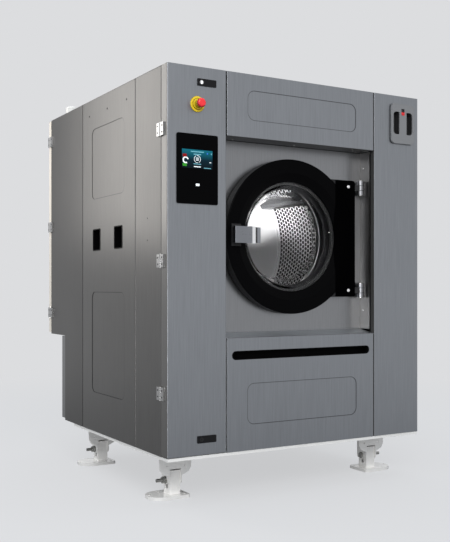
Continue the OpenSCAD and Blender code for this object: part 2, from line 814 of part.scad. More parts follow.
inlet_x = cab_w - service_w / 2;
inlet_zs = [1560, 1470, 1380];
gland_z = 1180;
gland_r = 16;
inlet_bore = 9;
module water_inlets() color("goldenrod") cab() for (z = inlet_zs)
  translate([inlet_x, cab_d, z]) difference() {
    union() {
      along_y(inlet_r, -10, 0.5 + sheet + inlet_l, small_fn);
      translate([0, 0.5 + sheet + 2, 0]) along_y(inlet_r + 5, 0, 5, 6);
      translate([-26, -70, -24]) cube([52, 70 + 0.4, 48]);
      translate([0, -40, 0]) cylinder(r = 18, h = 42, $fn = small_fn);
    }
    along_y(inlet_bore, -50, 100, small_fn);
  }

module cable_gland() color(dark) cab() translate([inlet_x, cab_d, gland_z]) difference() {
  union() {
    along_y(gland_r, -14, 30, small_fn);
    translate([0, 0.6 + sheet, 0]) along_y(gland_r + 5, 0, 7, 6);
    along_y(gland_r + 5, -8, 0.4, 6);
    translate([0, 0.6 + sheet, 0]) along_y(gland_r + 2, 9, 29, 24);
  }
  along_y(11, -20, 60, small_fn);
}

module rear_door_panel() color(steel) cab() translate([rear_w, rear_y, door_bottom])
  rotate([0, 0, 180]) {
    w = rear_w;
    h = side_top - door_bottom;
    deep = rear_t - seam;
    difference() {
      union() {
        tray(w, h, deep, deep, deep, deep);
        translate([w / 2, 0, h / 2]) field_back(w - 260, h - 300);
        for (z = [h * 0.25, h * 0.5, h * 0.75])
          translate([sheet, sheet + emboss + 1, z]) cube([w - 2 * sheet, 14, sheet]);
      }
      translate([w / 2, 0, h / 2]) field_cut(w - 260, h - 300);
      for (i = [-3:3]) translate([w / 2 + i * 60, 0, h - 90]) window(40, 8, 3.9);
    }
  }

// Detergent drawer

dispenser_w = drawer_w - 16;
dispenser_h = drawer_h - 16;
module dispenser_housing() color([0.85, 0.85, 0.86]) cab()
  translate([drawer_x, sheet + 0.5, drawer_z]) {
    w = dispenser_w;
    h = dispenser_h;
    l = tray_l + pocket_d + 30;
    difference() {
      union() {
        translate([-w / 2 - 12, 0, -h / 2 - 12]) cube([w + 24, 3, h + 24]);
        translate([-w / 2, 0, -h / 2]) cube([w, l, h]);
        translate([0, l - 45, -h / 2 - 60]) cylinder(r = 26, h = 70, $fn = small_fn);
      }
      translate([3 - w / 2, -1, 3 - h / 2]) cube([w - 6, l - 2, h - 6]);
      translate([0, l - 45, -h / 2 - 70]) cylinder(r = 22, h = 90, $fn = small_fn);
    }
    for (z = [h / 2 - 30, h / 2 - 60]) translate([0, l - eps, z])
      along_y(7, 0, 24, small_fn);
    // The plate that hangs the housing behind the upper frame's front bar
    translate([-30, post_y0 + bar_t + seat_gap - sheet - 0.5, h / 2 - eps])
      cube([60, 4, top_z - 6 - drawer_z - h / 2]);
  }

// The D-shaped finger pockets, with their large radius on the outer side
function pocket(w, h) = let (big = w * 0.45, small = 4) concat(
  arc(w / 2 - big, h / 2 - big, big, 90, 0, 8), arc(w / 2 - big, big - h / 2, big, 0, -90, 8),
  arc(small - w / 2, small - h / 2, small, 270, 180, 3),
  arc(small - w / 2, h / 2 - small, small, 180, 90, 3));
pocket_w = 39;
pocket_h = 112;
module pockets(grow, y0, y1) {
  for (s = [-1, 1]) mirror([s < 0 ? 1 : 0, 0, 0])
    translate([drawer_w / 2 - 34, y1, 3]) rotate([90, 0, 0]) linear_extrude(y1 - y0)
      polygon(pocket(pocket_w + 2 * grow, pocket_h + 2 * grow));
}

latch_w = 20;
latch_h = 15;
latch_z = 51;
latch_travel = 16;
module drawer_front() color([0.52, 0.53, 0.55]) cab() translate([drawer_x, 0, drawer_z])
  difference() {
    union() {
      translate([0, -0.4, 0]) rotate([90, 0, 0]) linear_extrude(drawer_out - 2.4)
        polygon(round_rect(drawer_w, drawer_h, 22));
      translate([0, 2.4 - drawer_out, 0]) rotate([90, 0, 0]) linear_extrude(2)
        polygon(round_rect(drawer_w - 4, drawer_h - 4, 20));
      pockets(2.5, -1, pocket_d);
      translate([-drawer_w / 2 + 12, -1, -drawer_h / 2 + 16]) cube([drawer_w - 24, 5, 20]);
    }
    pockets(0, -drawer_out - 1, pocket_d - 2.5);
    translate([-latch_w / 2 - 0.5, -drawer_out - 1, latch_z - latch_h / 2 - 0.5])
      cube([latch_w + 1, drawer_out - 3, latch_h + latch_travel + 1.5]);
  }

module drawer_tray() color([0.88, 0.88, 0.89]) cab() translate([drawer_x, 0, drawer_z]) {
  w = drawer_w - 26;
  h = 118;
  z0 = -drawer_h / 2 + 8 + 3 + 0.5;
  difference() {
    translate([-w / 2, pocket_d + 0.3, z0]) cube([w, tray_l, h]);
    for (cell = [[3 - w / 2, w * 0.42], [w * 0.45 - w / 2 + 3, w * 0.55 - 6]])
      translate([cell[0], pocket_d + 3.3, z0 + 3]) cube([cell[1], tray_l - 6, h]);
  }
  // The arms that join the tray to the front below the finger pockets
  for (x = [-w / 2, w / 2 - 12]) translate([x, 4.3, z0]) cube([12, pocket_d - 4 + 0.3, 16]);
}

module drawer_latch() color("crimson") cab()
  translate([drawer_x - latch_w / 2, -drawer_out, drawer_z + latch_z - latch_h / 2]) {
    cube([latch_w, drawer_out - 4.4, latch_h]);
    translate([2, -1.2, latch_h / 2 - 1]) cube([latch_w - 4, 1.3, 2]);
  }

// Suspension

spring_base = base_h;
module air_springs() color(dark) cab() for (y = mount_ys, s = [-1, 1])
  translate([axis_x + s * spring_x, y, spring_base]) {
    h = seat_z - spring_base - seat_gap;
    lobe = (h - 24) / 4;
    rotate_extrude($fn = main_fn) polygon(concat(
      [[0, 0], [spring_r - 14, 0], [spring_r - 14, 12]],
      arc(spring_r - lobe * 0.8, 12 + lobe, lobe, -70, 70, 10),
      arc(spring_r - lobe * 0.8, 12 + 3 * lobe, lobe, -70, 70, 10),
      [[spring_r - 14, h - 12], [spring_r - 14, h], [0, h]]));
  }

damper_r = 22;
rod_r = 10;
damper_top = 226;
rod_low = spring_base + 60;
module damper_bodies() color(dark) cab() for (y = mount_ys, s = [-1, 1])
  translate([axis_x + s * damper_x, y, spring_base]) difference() {
    union() {
      cylinder(r = damper_r, h = damper_top - spring_base, $fn = main_fn);
      cylinder(r = damper_r + 6, h = 8, $fn = main_fn);
    }
    translate([0, 0, 30])
      cylinder(r = rod_r + run, h = damper_top - spring_base, $fn = main_fn);
  }

module damper_rods() color(bright) cab() for (y = mount_ys, s = [-1, 1])
  translate([axis_x + s * damper_x, y, 0]) {
    translate([0, 0, rod_low]) cylinder(r = rod_r, h = seat_z - rod_low, $fn = main_fn);
    translate([0, 0, seat_z - 14]) cylinder(r = rod_r + 8, h = 14, $fn = main_fn);
  }

// The spring seats and the motor's cradle, cut to the tub's round
cradle_l = 220;
cradle_w = 236;
cradle_rise = 180;
bracket_drop = 180;
cradle_y = [tub_end - 20 - cradle_l, tub_end - 20];
cradle_z = motor_z + motor_r + 16;
module tub_brackets() color(bright) cab() difference() {
  union() {
    for (y = mount_ys, s = [-1, 1]) {
      x0 = axis_x + s * (damper_x + spring_x) / 2;
      reach = (spring_x - damper_x) / 2 + 72;
      translate([x0 - reach, y - 40, seat_z]) cube([2 * reach, 80, 10]);
      for (dy = [-34, 26]) translate([x0 - reach, y + dy, seat_z])
        cube([2 * reach, 8, axis_z - seat_z - bracket_drop]);
    }
    translate([motor_x - cradle_w / 2, cradle_y[0], cradle_z])
      cube([cradle_w, cradle_l, 8]);
    for (y = [cradle_y[0], cradle_y[1] - 8])
      translate([motor_x - cradle_w / 2, y, cradle_z]) cube([cradle_w, 8, cradle_rise]);
  }
  translate([axis_x, 0, axis_z]) along_y(tub_r + seat_gap, 0, cab_d);
}

module door_boot() color([0.2, 0.2, 0.21]) cab() translate([axis_x, 0, axis_z]) {
  lip_y = alcove_d + sheet + 3;
  lip = bowl_at(lip_y) + 0.6;
  about_y([[port_r + 14, alcove_d + sheet], [port_r + 14, alcove_d + sheet + 5],
    [port_r - 2, alcove_d + sheet + 5], [port_r + 2, collar_y - 30],
    [tub_mouth + 8, collar_y - 12], [tub_mouth + 8, collar_y + 14],
    [tub_mouth + 4 + seat_gap, collar_y + 14],
    [tub_mouth + 4 + seat_gap, collar_y - 2], [port_r - 3, collar_y - 20],
    [port_r - 12, alcove_d + sheet + 6], [lip, lip_y + 5],
    [lip, lip_y], [port_r - 14, alcove_d - 1],
    [port_r - 6, alcove_d - 1], [port_r - 6, alcove_d + sheet]]);
}

// Tub

tub_mouth = port_r + 6;
sump_r = 42;
module tub_shell() color(bright) cab() translate([axis_x, 0, axis_z]) difference() {
  union() {
    about_y([[tub_mouth, collar_y], [tub_mouth + 4, collar_y], [tub_mouth + 4, tub_y],
      [tub_r, tub_y], [tub_r, tub_end - 6], [tub_r + 16, tub_end - 6], [tub_r + 16, tub_end],
      [tub_r - tub_t, tub_end], [tub_r - tub_t, tub_y + tub_t],
      [tub_mouth, tub_y + tub_t]]);
    for (y = [tub_y + 200, tub_y + 480]) about_y([[tub_r - 1, y], [tub_r + 8, y],
      [tub_r + 8, y + 8], [tub_r - 1, y + 8]]);
  }
  translate([drain_x - axis_x, drain_y, -tub_r - 40]) cylinder(r = sump_r, h = 200,
    $fn = small_fn);
}

hub_r = 98;
back_bore = 60;
module tub_back() color(bright) cab() translate([axis_x, 0, axis_z]) difference() {
  union() {
    about_y([[back_bore, tub_end + 0.2], [tub_r + 16, tub_end + 0.2],
      [tub_r + 16, tub_end + 6], [back_bore, tub_end + 6]]);
    for (a = [0:45:315]) rotate([0, a + 22.5, 0]) translate([-4, tub_end + 5, hub_r + 70])
      cube([8, 40, tub_r - hub_r - 76]);
  }
  along_y(hub_r - 30, 0, cab_d);
}

bearing_r = 65;
bearing_w = 30;
bearing_ys = [tub_end + 14, tub_end + housing_l - bearing_w - 8];
module bearing_housing() color([0.35, 0.36, 0.38]) cab() translate([axis_x, 0, axis_z])
  difference() {
    union() {
      about_y([[shaft_r + 12, tub_end + 6.2], [hub_r + 62, tub_end + 6.2],
        [hub_r + 62, tub_end + 20], [hub_r, tub_end + 26], [hub_r - 10, tub_end + housing_l],
        [shaft_r + 12, tub_end + housing_l]]);
      for (a = [0:60:300]) rotate([0, a, 0]) translate([-6, tub_end + 18, hub_r - 22])
        cube([12, 30, 70]);
    }
    for (y = bearing_ys) along_y(bearing_r + run, y, y + bearing_w + run);
    for (a = [30:60:330]) rotate([0, a, 0]) translate([0, 0, hub_r + 44])
      along_y(7, tub_end, tub_end + 40, small_fn);
  }

module bearings() color(bright) cab() translate([axis_x, 0, axis_z]) for (y = bearing_ys)
  about_y([[shaft_r + run, y], [shaft_r + 9, y], [shaft_r + 9, y + 2],
    [bearing_r - 9, y + 2], [bearing_r - 9, y], [bearing_r, y], [bearing_r, y + bearing_w],
    [bearing_r - 9, y + bearing_w], [bearing_r - 9, y + bearing_w - 2],
    [shaft_r + 9, y + bearing_w - 2], [shaft_r + 9, y + bearing_w],
    [shaft_r + run, y + bearing_w]]);

motor_shaft_r = 19;
motor_y0 = cradle_y[0] - 30;
motor_y1 = pulley_y - 40;
// The motor's ribbed section: ribs of a given depth and half width round a circle
function finned(r, d, w) = [for (a = [0:15:345], p = [[w, r - d], [w, r], [-w, r], [-w, r - d]])
  [p[0] * cos(a) - p[1] * sin(a), p[0] * sin(a) + p[1] * cos(a)]];
module motor() color([0.30, 0.33, 0.38]) cab() translate([motor_x, 0, motor_z])
  difference() {
    union() {
      along_y(motor_r - 14, motor_y0 + 30, motor_y1);
      along_y(motor_r - 2, motor_y0, motor_y0 + 60);
      along_y(motor_r - 4, motor_y1 - 30, motor_y1 - 6);
      translate([0, motor_y1 - 29, 0]) rotate([90, 0, 0])
        linear_extrude(motor_y1 - motor_y0 - 88) polygon(finned(motor_r, 12, 2));
      for (x = [-92, 62]) translate([x, cradle_y[0] + 20, 40])
        cube([30, 160, motor_r + 16 - 40]);
      translate([-motor_r - 22, motor_y0 + 110, -30]) cube([40, 90, 70]);
    }
    along_y(motor_shaft_r + run, motor_y0 + 60, motor_y1 + 10);
  }

module motor_pulley() color(bright) cab() translate([motor_x, 0, motor_z]) {
  along_y(motor_shaft_r, motor_y0 + 80, pulley_y + pulley_w + 6);
  about_y([[motor_shaft_r - 1, pulley_y], [small_r, pulley_y],
    [small_r, pulley_y + pulley_w], [motor_shaft_r - 1, pulley_y + pulley_w]]);
  for (y = [pulley_y - 4, pulley_y + pulley_w]) about_y([[motor_shaft_r - 1, y],
    [small_r + 9, y], [small_r + 9, y + 4], [motor_shaft_r - 1, y + 4]]);
}

// The belt's loop round both pulleys
belt_t = 6;
belt_drop = axis_z - motor_z;
lean = asin((pulley_r - small_r) / belt_drop);
function belt_loop(d) = concat(
  arc(0, 0, pulley_r + seat_gap + d, -lean, 180 + lean, 60),
  arc(0, -belt_drop, small_r + seat_gap + d, 180 + lean, 360 - lean, 24));
module drive_belt() color(dark) cab()
  translate([axis_x, pulley_y + pulley_w - 4, axis_z]) rotate([90, 0, 0]) difference() {
    linear_extrude(pulley_w - 8) polygon(belt_loop(belt_t));
    translate([0, 0, -1]) linear_extrude(pulley_w) polygon(belt_loop(0));
  }

valve_h = 110;
module drain_valve() color([0.25, 0.25, 0.27]) cab() translate([drain_x, drain_y, 0]) {
  side = 62;
  bead_y = low_d + low_t + 1 - drain_y;
  top = axis_z - sqrt(pow(tub_r, 2) - pow(axis_x - drain_x, 2)) - 2;
  difference() {
    union() {
      translate([-side, -side, drain_z - valve_h / 2]) cube([2 * side, 2 * side, valve_h]);
      translate([0, 0, drain_z]) cylinder(r = 50, h = top - drain_z, $fn = small_fn);
      translate([0, 0, drain_z]) along_y(drain_r, 0, low_d + low_t + drain_l - drain_y);
      // The bead that stops the hose, just outside the rear panel
      translate([0, 0, drain_z]) about_y([[drain_r - 1, bead_y], [drain_r + 3, bead_y],
        [drain_r + 3, bead_y + 4], [drain_r - 1, bead_y + 4]]);
      translate([-side - 50, -24, drain_z - 24]) cube([60, 48, 48]);
    }
    translate([0, 0, drain_z]) cylinder(r = 38, h = top + 20, $fn = small_fn);
    translate([0, 0, drain_z]) along_y(drain_r - 4, 0, cab_d);
    translate([axis_x - drain_x, 0, axis_z]) along_y(tub_r + seat_gap, -200, 300);
  }
}

// Drum

module drum_shell() color(bright) cab() translate([axis_x, 0, axis_z])
  about_y(concat(
    [[drum_r, drum_end], [drum_r + drum_t, drum_end]],
    arc(drum_r + drum_t - 12, drum_y + 12, 12, 0, -90),
    arc(mouth_r + 6, drum_y - 2, 6, -90, -180),
    [[mouth_r, drum_y + 12], [mouth_r + 3, drum_y + 12], [mouth_r + 3, drum_y + 3],
      [drum_r - 8, drum_y + 3], [drum_r, drum_y + 11]]));

spider_t = 26;
module drum_back() color(bright) cab() translate([axis_x, 0, axis_z]) difference() {
  union() {
    about_y([[shaft_r - 6, drum_end + 0.2], [drum_r + drum_t, drum_end + 0.2],
      [drum_r + drum_t, drum_end + 3.2], [shaft_r - 6, drum_end + 3.2]]);
    about_y([[shaft_r - 6, drum_end + 3], [hub_r - 40, drum_end + 3],
      [hub_r - 40, drum_end + spider_t], [shaft_r - 6, drum_end + spider_t]]);
    for (a = [0:120:240]) rotate([0, a + 30, 0])
      translate([0, drum_end + spider_t, 0]) rotate([90, 0, 0]) linear_extrude(spider_t - 3)
        polygon([[-34, 0], [34, 0], [20, drum_r - 6], [-20, drum_r - 6]]);
  }
  along_y(shaft_r - 6 + eps, drum_end - 1, drum_end + 60);
}

// A lifter: a hollow trapezoid rib with rounded edges, along the drum
lifter_a = 58.5;
lifter_w = 48;
lifter_tip = 8;
lifter_edge_r = 6;
function lifter(d) = let (z = lifter_h - drum_r - lifter_edge_r) concat(
  [[1.23 * d - lifter_w, -drum_r], [lifter_w - 1.23 * d, -drum_r]],
  arc(lifter_tip, z, lifter_edge_r - d, 36, 90, 4),
  arc(-lifter_tip, z, lifter_edge_r - d, 90, 144, 4));
module drum_lifters() color(bright) cab() translate([axis_x, 0, axis_z])
  for (i = [0:lifters - 1]) rotate([0, lifter_a + i * 360 / lifters, 0])
    intersection() {
      translate([0, drum_y + 30, 0]) rotate([-90, 0, 0]) difference() {
        linear_extrude(drum_l - 31) polygon(lifter(0));
        translate([0, -eps, drum_t]) linear_extrude(drum_l - 31 - 2 * drum_t)
          polygon(lifter(drum_t));
      }
      along_y(drum_r - seat_gap, 0, cab_d);
    }

module drum_shaft() color([0.6, 0.6, 0.62]) cab() translate([axis_x, 0, axis_z]) {
  about_y([[0, drum_end + 0.2], [shaft_r - 6, drum_end + 0.2],
    [shaft_r - 6, drum_end + spider_t + 0.2], [shaft_r, drum_end + spider_t + 0.2],
    [shaft_r, pulley_y + pulley_w + 8], [0, pulley_y + pulley_w + 8]]);
}

module drum_pulley() color([0.45, 0.45, 0.47]) cab() translate([axis_x, 0, axis_z]) {
  y1 = pulley_y + pulley_w;
  about_y([[pulley_r - 12, pulley_y], [pulley_r, pulley_y], [pulley_r, y1],
    [pulley_r - 12, y1]]);
  about_y([[shaft_r + 0.02, pulley_y], [shaft_r + 30, pulley_y], [shaft_r + 30, y1],
    [shaft_r + 0.02, y1]]);
  for (a = [0:60:300]) rotate([0, a, 0]) translate([-15, pulley_y + 18, shaft_r + 26])
    cube([30, 14, pulley_r - shaft_r - 34]);
}

// Drum door

module door_frame() color([0.03, 0.03, 0.035]) cab() translate([axis_x, 0, axis_z]) {
  back = door_y + door_t;
  in_y = door_y + glass_drop;
  wall = glass_r + 18;
  about_y(concat(
    [[glass_r, in_y], [glass_r, in_y - skin], [glass_r + 42, door_y]],
    arc(door_r - 6, door_y + 6, 6, -90, 0),
    [[door_r, back], [door_r - skin, back], [door_r - skin, door_y + skin],
      [glass_r + 44, door_y + skin], [wall + skin, in_y - 4], [wall + skin, back - skin],
      [door_r - skin - 4, back - skin], [door_r - skin - 4, back], [wall, back],
      [wall, in_y]]));
  difference() {
    translate([0, door_y + 32, 0]) rotate([90, 0, 0]) linear_extrude(32)
      polygon(wing(0));
    translate([0, door_y + 33, 0]) rotate([90, 0, 0]) linear_extrude(33 - skin)
      polygon(wing(skin));
    along_y(door_r - 1, 0, cab_d);
    for (z = [-hinge_dz, hinge_dz]) {
      translate([wing_x - skin - 1, door_y + skin - eps, z - inner_k / 2 - 1])
        cube([skin + 2, strap_t + 2, inner_k + 2]);
      translate([wing_bolt_x, 0, z])
        along_y(wing_bolt_r + seat_gap, door_y - 1, door_y + skin + 1, small_fn);
    }
  }
}
function wing(d) = concat(
  [[150, d - wing_h]], arc(wing_x - 12, 12 - wing_h, 12 - d, 270, 360, 4),
  arc(wing_x - 12, wing_h - 12, 12 - d, 0, 90, 4), [[150, wing_h - d]]);

glass_in = door_y + glass_drop + seat_gap;
deep = glass_in + bowl_d;
throat = glass_r - 14;
foot = glass_r - 42;
// The bowl's outer radius at a given plane of its sloping wall
function bowl_at(y) = throat + 2 - (y - glass_in - glass_t)
  * (throat + 24 - foot - 22 * cos(20)) / (deep - 22 + 22 * sin(20) - glass_in - glass_t);
module door_glass() color([0.6, 0.7, 0.75, 0.35]) cab() translate([axis_x, 0, axis_z]) {
  about_y(concat([[0, deep - glass_t], [foot - 24, deep - glass_t]],
    arc(foot - 24, deep - glass_t - 14, 14, 90, 20, 4),
    [[throat - glass_t, glass_in + 8], [throat, glass_in],
      [rim_r, glass_in], [rim_r, glass_in + glass_t], [throat + 2, glass_in + glass_t]],
    arc(foot - 22, deep - 22, 22, 20, 90, 4),
    [[0, deep]]));
}

module glass_gasket() color([0.12, 0.12, 0.13]) cab() translate([axis_x, 0, axis_z])
  about_y([[rim_r + 0.3, glass_in], [glass_r + 17.6, glass_in],
    [glass_r + 17.6, door_y + door_t + 3], [glass_r - 4, door_y + door_t + 3],
    [glass_r - 10, glass_in + glass_t + 12], [glass_r - 10, glass_in + glass_t + 0.3],
    [rim_r + 0.3, glass_in + glass_t + 0.3]]);

// The door's handle: a dark base on the ring, a fixed back plate, and a lever on a pin
handle_cz = axis_z - 1;
handle_x = axis_x - 336;
lever_h = 75;
lever_y = 5;
pivot = [handle_x + 12, door_y - 16];
pivot_r = 4;
module handle_base() color([0.12, 0.12, 0.13]) cab() translate([0, 0, handle_cz]) {
  difference() {
    union() {
      translate([handle_x - 2, door_y - 6, -50]) cube([50, 6 - 0.1, 100]);
      for (z = [-lever_h / 2 + 1, lever_h / 2 - 9]) translate([0, 0, z]) {
        translate([pivot[0] - 8, pivot[1], 0]) cube([16, door_y - 5 - pivot[1], 8]);
        translate([pivot[0], pivot[1], 0]) cylinder(r = 8, h = 8, $fn = small_fn);
      }
      translate([handle_x + 34, door_y - 22, -lever_h / 2 + 2]) cube([8, 18, lever_h - 4]);
      translate([handle_x + 34, door_y - 22, -lever_h / 2 + 2]) cube([108, 3, lever_h - 4]);
    }
    translate([pivot[0], pivot[1], -60])
      cylinder(r = pivot_r + run, h = 120, $fn = small_fn);
  }
}

module handle_lever() color([0.6, 0.61, 0.63]) cab() translate([0, 0, handle_cz]) {
  r = 10;
  x0 = handle_x - 2;
  x1 = handle_x + 109;
  translate([0, 0, -lever_h / 2]) difference() {
    linear_extrude(lever_h) polygon(concat(
      arc(x0 + 3, lever_y + 3, 3, 180, 270, 3), arc(x1 - r, lever_y + r, r, 270, 360, 5),
      [[x1, lever_y + 13], [x1 - 3, lever_y + 13]],
      arc(x1 - r, lever_y + r, r - 3, 360, 270, 5),
      [[x0 + 3, lever_y + 3], [x0 + 3, lever_y + 16], [x0, lever_y + 16]]));
  }
  // The pivot's boss between the base's two ears
  difference() {
    union() {
      translate([pivot[0], pivot[1], -lever_h / 2 + 9.4])
        cylinder(r = 8, h = lever_h - 18.8, $fn = small_fn);
      translate([pivot[0] - 4, lever_y + 2, -lever_h / 2 + 9.4])
        cube([8, pivot[1] - lever_y - 4, lever_h - 18.8]);
    }
  }
  translate([pivot[0], pivot[1], -lever_h / 2 + 0.6])
    cylinder(r = pivot_r, h = lever_h - 1.2, $fn = small_fn);
}

// Control door and what it carries

module control_door_panel() color(steel) cab() difference() {
  translate([0, 0, seam]) tray(left_w - seam / 2, cab_h - seam, wrap - seam / 2, fold,
    wrap - seam / 2, fold);
  translate([controls_x, 0, screen_z]) window(screen_w - 16, screen_h - 16, 4);
  translate([controls_x, 0, stop_z]) along_y(17, -5, 10, small_fn);
  for (z = [lock_hi_z, lock_lo_z]) translate([lock_x, 0, z])
    window(lock_w - 12, lock_h - 10, 4);
}

case_d = 34;
module touch_screen() color(dark) cab() translate([controls_x, 0, screen_z]) {
  translate([0, -0.2, 0]) rotate([90, 0, 0]) linear_extrude(3.6)
    polygon(round_rect(screen_w, screen_h, 8));
  translate([0, case_d, 0]) rotate([90, 0, 0]) linear_extrude(case_d + 1)
    polygon(round_rect(screen_w - 18, screen_h - 18, 3));
}

module stop_collar() color("gold") cab() translate([controls_x, 0, stop_z]) difference() {
  union() {
    about_y([[0, -0.2], [collar_r, -0.2], [collar_r, -2.5], [collar_r - 2, -4],
      [collar_r - 9, -4], [collar_r - 10, -2.5], [collar_r - 12, -2.5], [collar_r - 13, -7],
      [collar_r - 14, -8], [17, -8], [15, 6 - stop_h + 20], [0, 6 - stop_h + 20]]);
    along_y(16.5, -1, 12, small_fn);
    translate([-18, 12, -22]) cube([36, 34, 44]);
  }
  along_y(11 + run, -stop_h, 26, main_fn);
}

module stop_button() color("crimson") cab() translate([controls_x, 0, stop_z])
  about_y(concat([[0, -stop_h]], arc(stop_r - 9, 9 - stop_h, 9, -90, 0, 6),
    [[stop_r, 14 - stop_h], [stop_r - 4, 18 - stop_h], [11, 18 - stop_h], [11, 18],
      [0, 18]]));

lock_x = controls_x + 47;
barrel_x = lock_x - lock_w / 2 + 20;
module lock_housings() color(dark) cab() for (z = [lock_hi_z, lock_lo_z])
  translate([0, 0, z]) difference() {
    union() {
      translate([lock_x, -0.2, 0]) rotate([90, 0, 0]) linear_extrude(3)
        polygon(round_rect(lock_w, lock_h, 4));
      translate([lock_x, 14, 0]) rotate([90, 0, 0]) linear_extrude(15)
        polygon(round_rect(lock_w - 13, lock_h - 11, 3.5));
      translate([barrel_x, 0, 0]) along_y(lock_r + 4, sheet + seat_gap, 22, small_fn);
    }
    translate([barrel_x, 0, 0]) along_y(lock_r + run, -10, 30, main_fn);
  }

// A quarter-turn lock: a slotted barrel with a cam behind the panel
module lock_barrel(z) cab() translate([barrel_x, 0, z]) difference() {
  union() {
    along_y(lock_r, -4.6, 30, main_fn);
    translate([0, 22.4, 0]) along_y(lock_r + 3, 0, 3, main_fn);
    translate([-7, 26, -6]) cube([38, 4, 12]);
  }
  translate([-1.5, -6, -lock_r + 3]) cube([3, 4, 2 * lock_r - 6]);
}
module upper_lock() color(bright) lock_barrel(lock_hi_z);
module lower_lock() color([0.2, 0.2, 0.21]) lock_barrel(lock_lo_z);

// The motor's inverter behind the control door, on the left front post
inverter_z = 1040;
inverter_h = 320;
inverter_w = 120;
inverter_d = 90;
wing_z = inverter_z - 10;
module drive_inverter() color([0.55, 0.57, 0.6]) cab()
  translate([frame_x + bar_t + 1, post_y0 + bar_t + seat_gap, inverter_z]) {
    cube([angle_w + inverter_w + 30, 3, inverter_h + 40]);
    difference() {
      translate([angle_w + 17, 2.9, 20]) cube([inverter_w, inverter_d, inverter_h]);
      for (i = [0:7]) translate([angle_w + 23 + i * 14, inverter_d - 40, 10])
        cube([8, 60, inverter_h + 20]);
    }
  }

base_frame();
upper_frame();
leg_posts();
foot_plates();
leg_clamp_bolts();
roof_panel();
roof_vent();
side_front_panels();
side_centre_panels();
side_rear_panels();
side_grips();
front_top_panel();
front_right_column();
front_lower_panel();
lower_slot_insert();
alcove_liner();
fixed_hinge_leaves();
hinge_pins();
rear_panels();
dispenser_housing();
water_inlets();
cable_gland();
air_springs();
damper_bodies();
door_boot();
drive_inverter();
tub_shell();
tub_back();
bearing_housing();
bearings();
tub_brackets();
damper_rods();
motor();
drive_belt();
drain_valve();
drum_shell();
drum_back();
drum_lifters();
drum_shaft();
drum_pulley();
motor_pulley();
door_frame();
door_glass();
glass_gasket();
door_hinge_leaves();
handle_base();
handle_lever();
control_door_panel();
touch_screen();
stop_collar();
lock_housings();
control_door_hinge_leaves();
stop_button();
upper_lock();
lower_lock();
rear_door_panel();
rear_door_hinge_leaves();
drawer_front();
drawer_tray();
drawer_latch();
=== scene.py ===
import bpy
import bmesh
import math
from mathutils import Matrix, Vector


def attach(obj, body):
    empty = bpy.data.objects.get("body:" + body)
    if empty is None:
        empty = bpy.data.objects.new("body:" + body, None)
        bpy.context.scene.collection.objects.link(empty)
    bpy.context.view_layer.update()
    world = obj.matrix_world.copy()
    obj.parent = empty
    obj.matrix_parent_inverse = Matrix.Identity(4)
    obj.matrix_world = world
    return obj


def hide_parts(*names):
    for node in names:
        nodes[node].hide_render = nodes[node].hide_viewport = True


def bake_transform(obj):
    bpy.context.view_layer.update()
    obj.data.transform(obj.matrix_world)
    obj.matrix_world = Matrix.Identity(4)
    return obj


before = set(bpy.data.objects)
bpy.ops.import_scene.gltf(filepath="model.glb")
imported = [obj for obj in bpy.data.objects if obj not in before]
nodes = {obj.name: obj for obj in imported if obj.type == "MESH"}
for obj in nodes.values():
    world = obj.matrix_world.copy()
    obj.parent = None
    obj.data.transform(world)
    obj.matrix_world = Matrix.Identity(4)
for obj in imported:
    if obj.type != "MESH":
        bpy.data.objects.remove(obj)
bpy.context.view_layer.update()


# ------------------------------------------------ Base frame
# A welded base of stainless channels with leg brackets, and an upper frame of
# angle bars that carries the cladding. Glass-blasted stainless, left pale.

cabinet_left, cabinet_front, cabinet_bottom = -0.7056, -0.7425, 0.22


def at(x, y, z):
    """A place in millimetres from the cabinet's lower front left corner, in
    metres of the shared frame."""
    return Vector((x / 1000 + cabinet_left, y / 1000 + cabinet_front,
                   z / 1000 + cabinet_bottom))


def join(tree, value, socket):
    """Gives a socket a value, or links it to a node's output. A node stands
    for its first output."""
    if isinstance(value, bpy.types.Node):
        value = value.outputs[0]
    if isinstance(value, bpy.types.NodeSocket):
        tree.links.new(value, socket)
    else:
        socket.default_value = value


def add(tree, kind, sockets=None, **settings):
    """A node in a tree, with its settings and what its sockets are given."""
    node = tree.nodes.new(kind)
    for key, value in settings.items():
        setattr(node, key, value)
    for key, value in (sockets or {}).items():
        join(tree, value, node.inputs[key])
    return node


def calc(tree, operation, *values, clamp=False):
    """A sum in a tree, on numbers, nodes or their outputs."""
    return add(tree, "ShaderNodeMath", dict(enumerate(values)),
               operation=operation, use_clamp=clamp).outputs[0]


def vector(tree, operation, *values, **named):
    """A sum on vectors in a tree."""
    made = add(tree, "ShaderNodeVectorMath",
               {**dict(enumerate(values)), **named}, operation=operation)
    return made.outputs["Value" if operation == "LENGTH" else "Vector"]


def mix(tree, share, first, second, kind="RGBA"):
    """Two colours or two numbers, mixed in a tree."""
    before, after, out = (6, 7, 2) if kind == "RGBA" else (2, 3, 0)
    return add(tree, "ShaderNodeMix", {0: share, before: first, after: second},
               data_type=kind).outputs[out]


def object_place(tree):
    """The shaded place in a tree, in Object coordinates."""
    return add(tree, "ShaderNodeTexCoord").outputs["Object"]


def new_tree(tree_kind, name, inputs, outputs):
    """A node tree and its input sockets. Inputs and outputs are named, and
    each has its kind or its kind and a default."""
    tree = bpy.data.node_groups.new(name, tree_kind)
    for way, sockets in (("INPUT", inputs), ("OUTPUT", outputs)):
        for label, value in sockets.items():
            kind, *default = value if isinstance(value, tuple) else (value,)
            socket = tree.interface.new_socket(
                label, in_out=way, socket_type="NodeSocket" + kind)
            if default:
                socket.default_value = default[0]
    return tree, add(tree, "NodeGroupInput").outputs


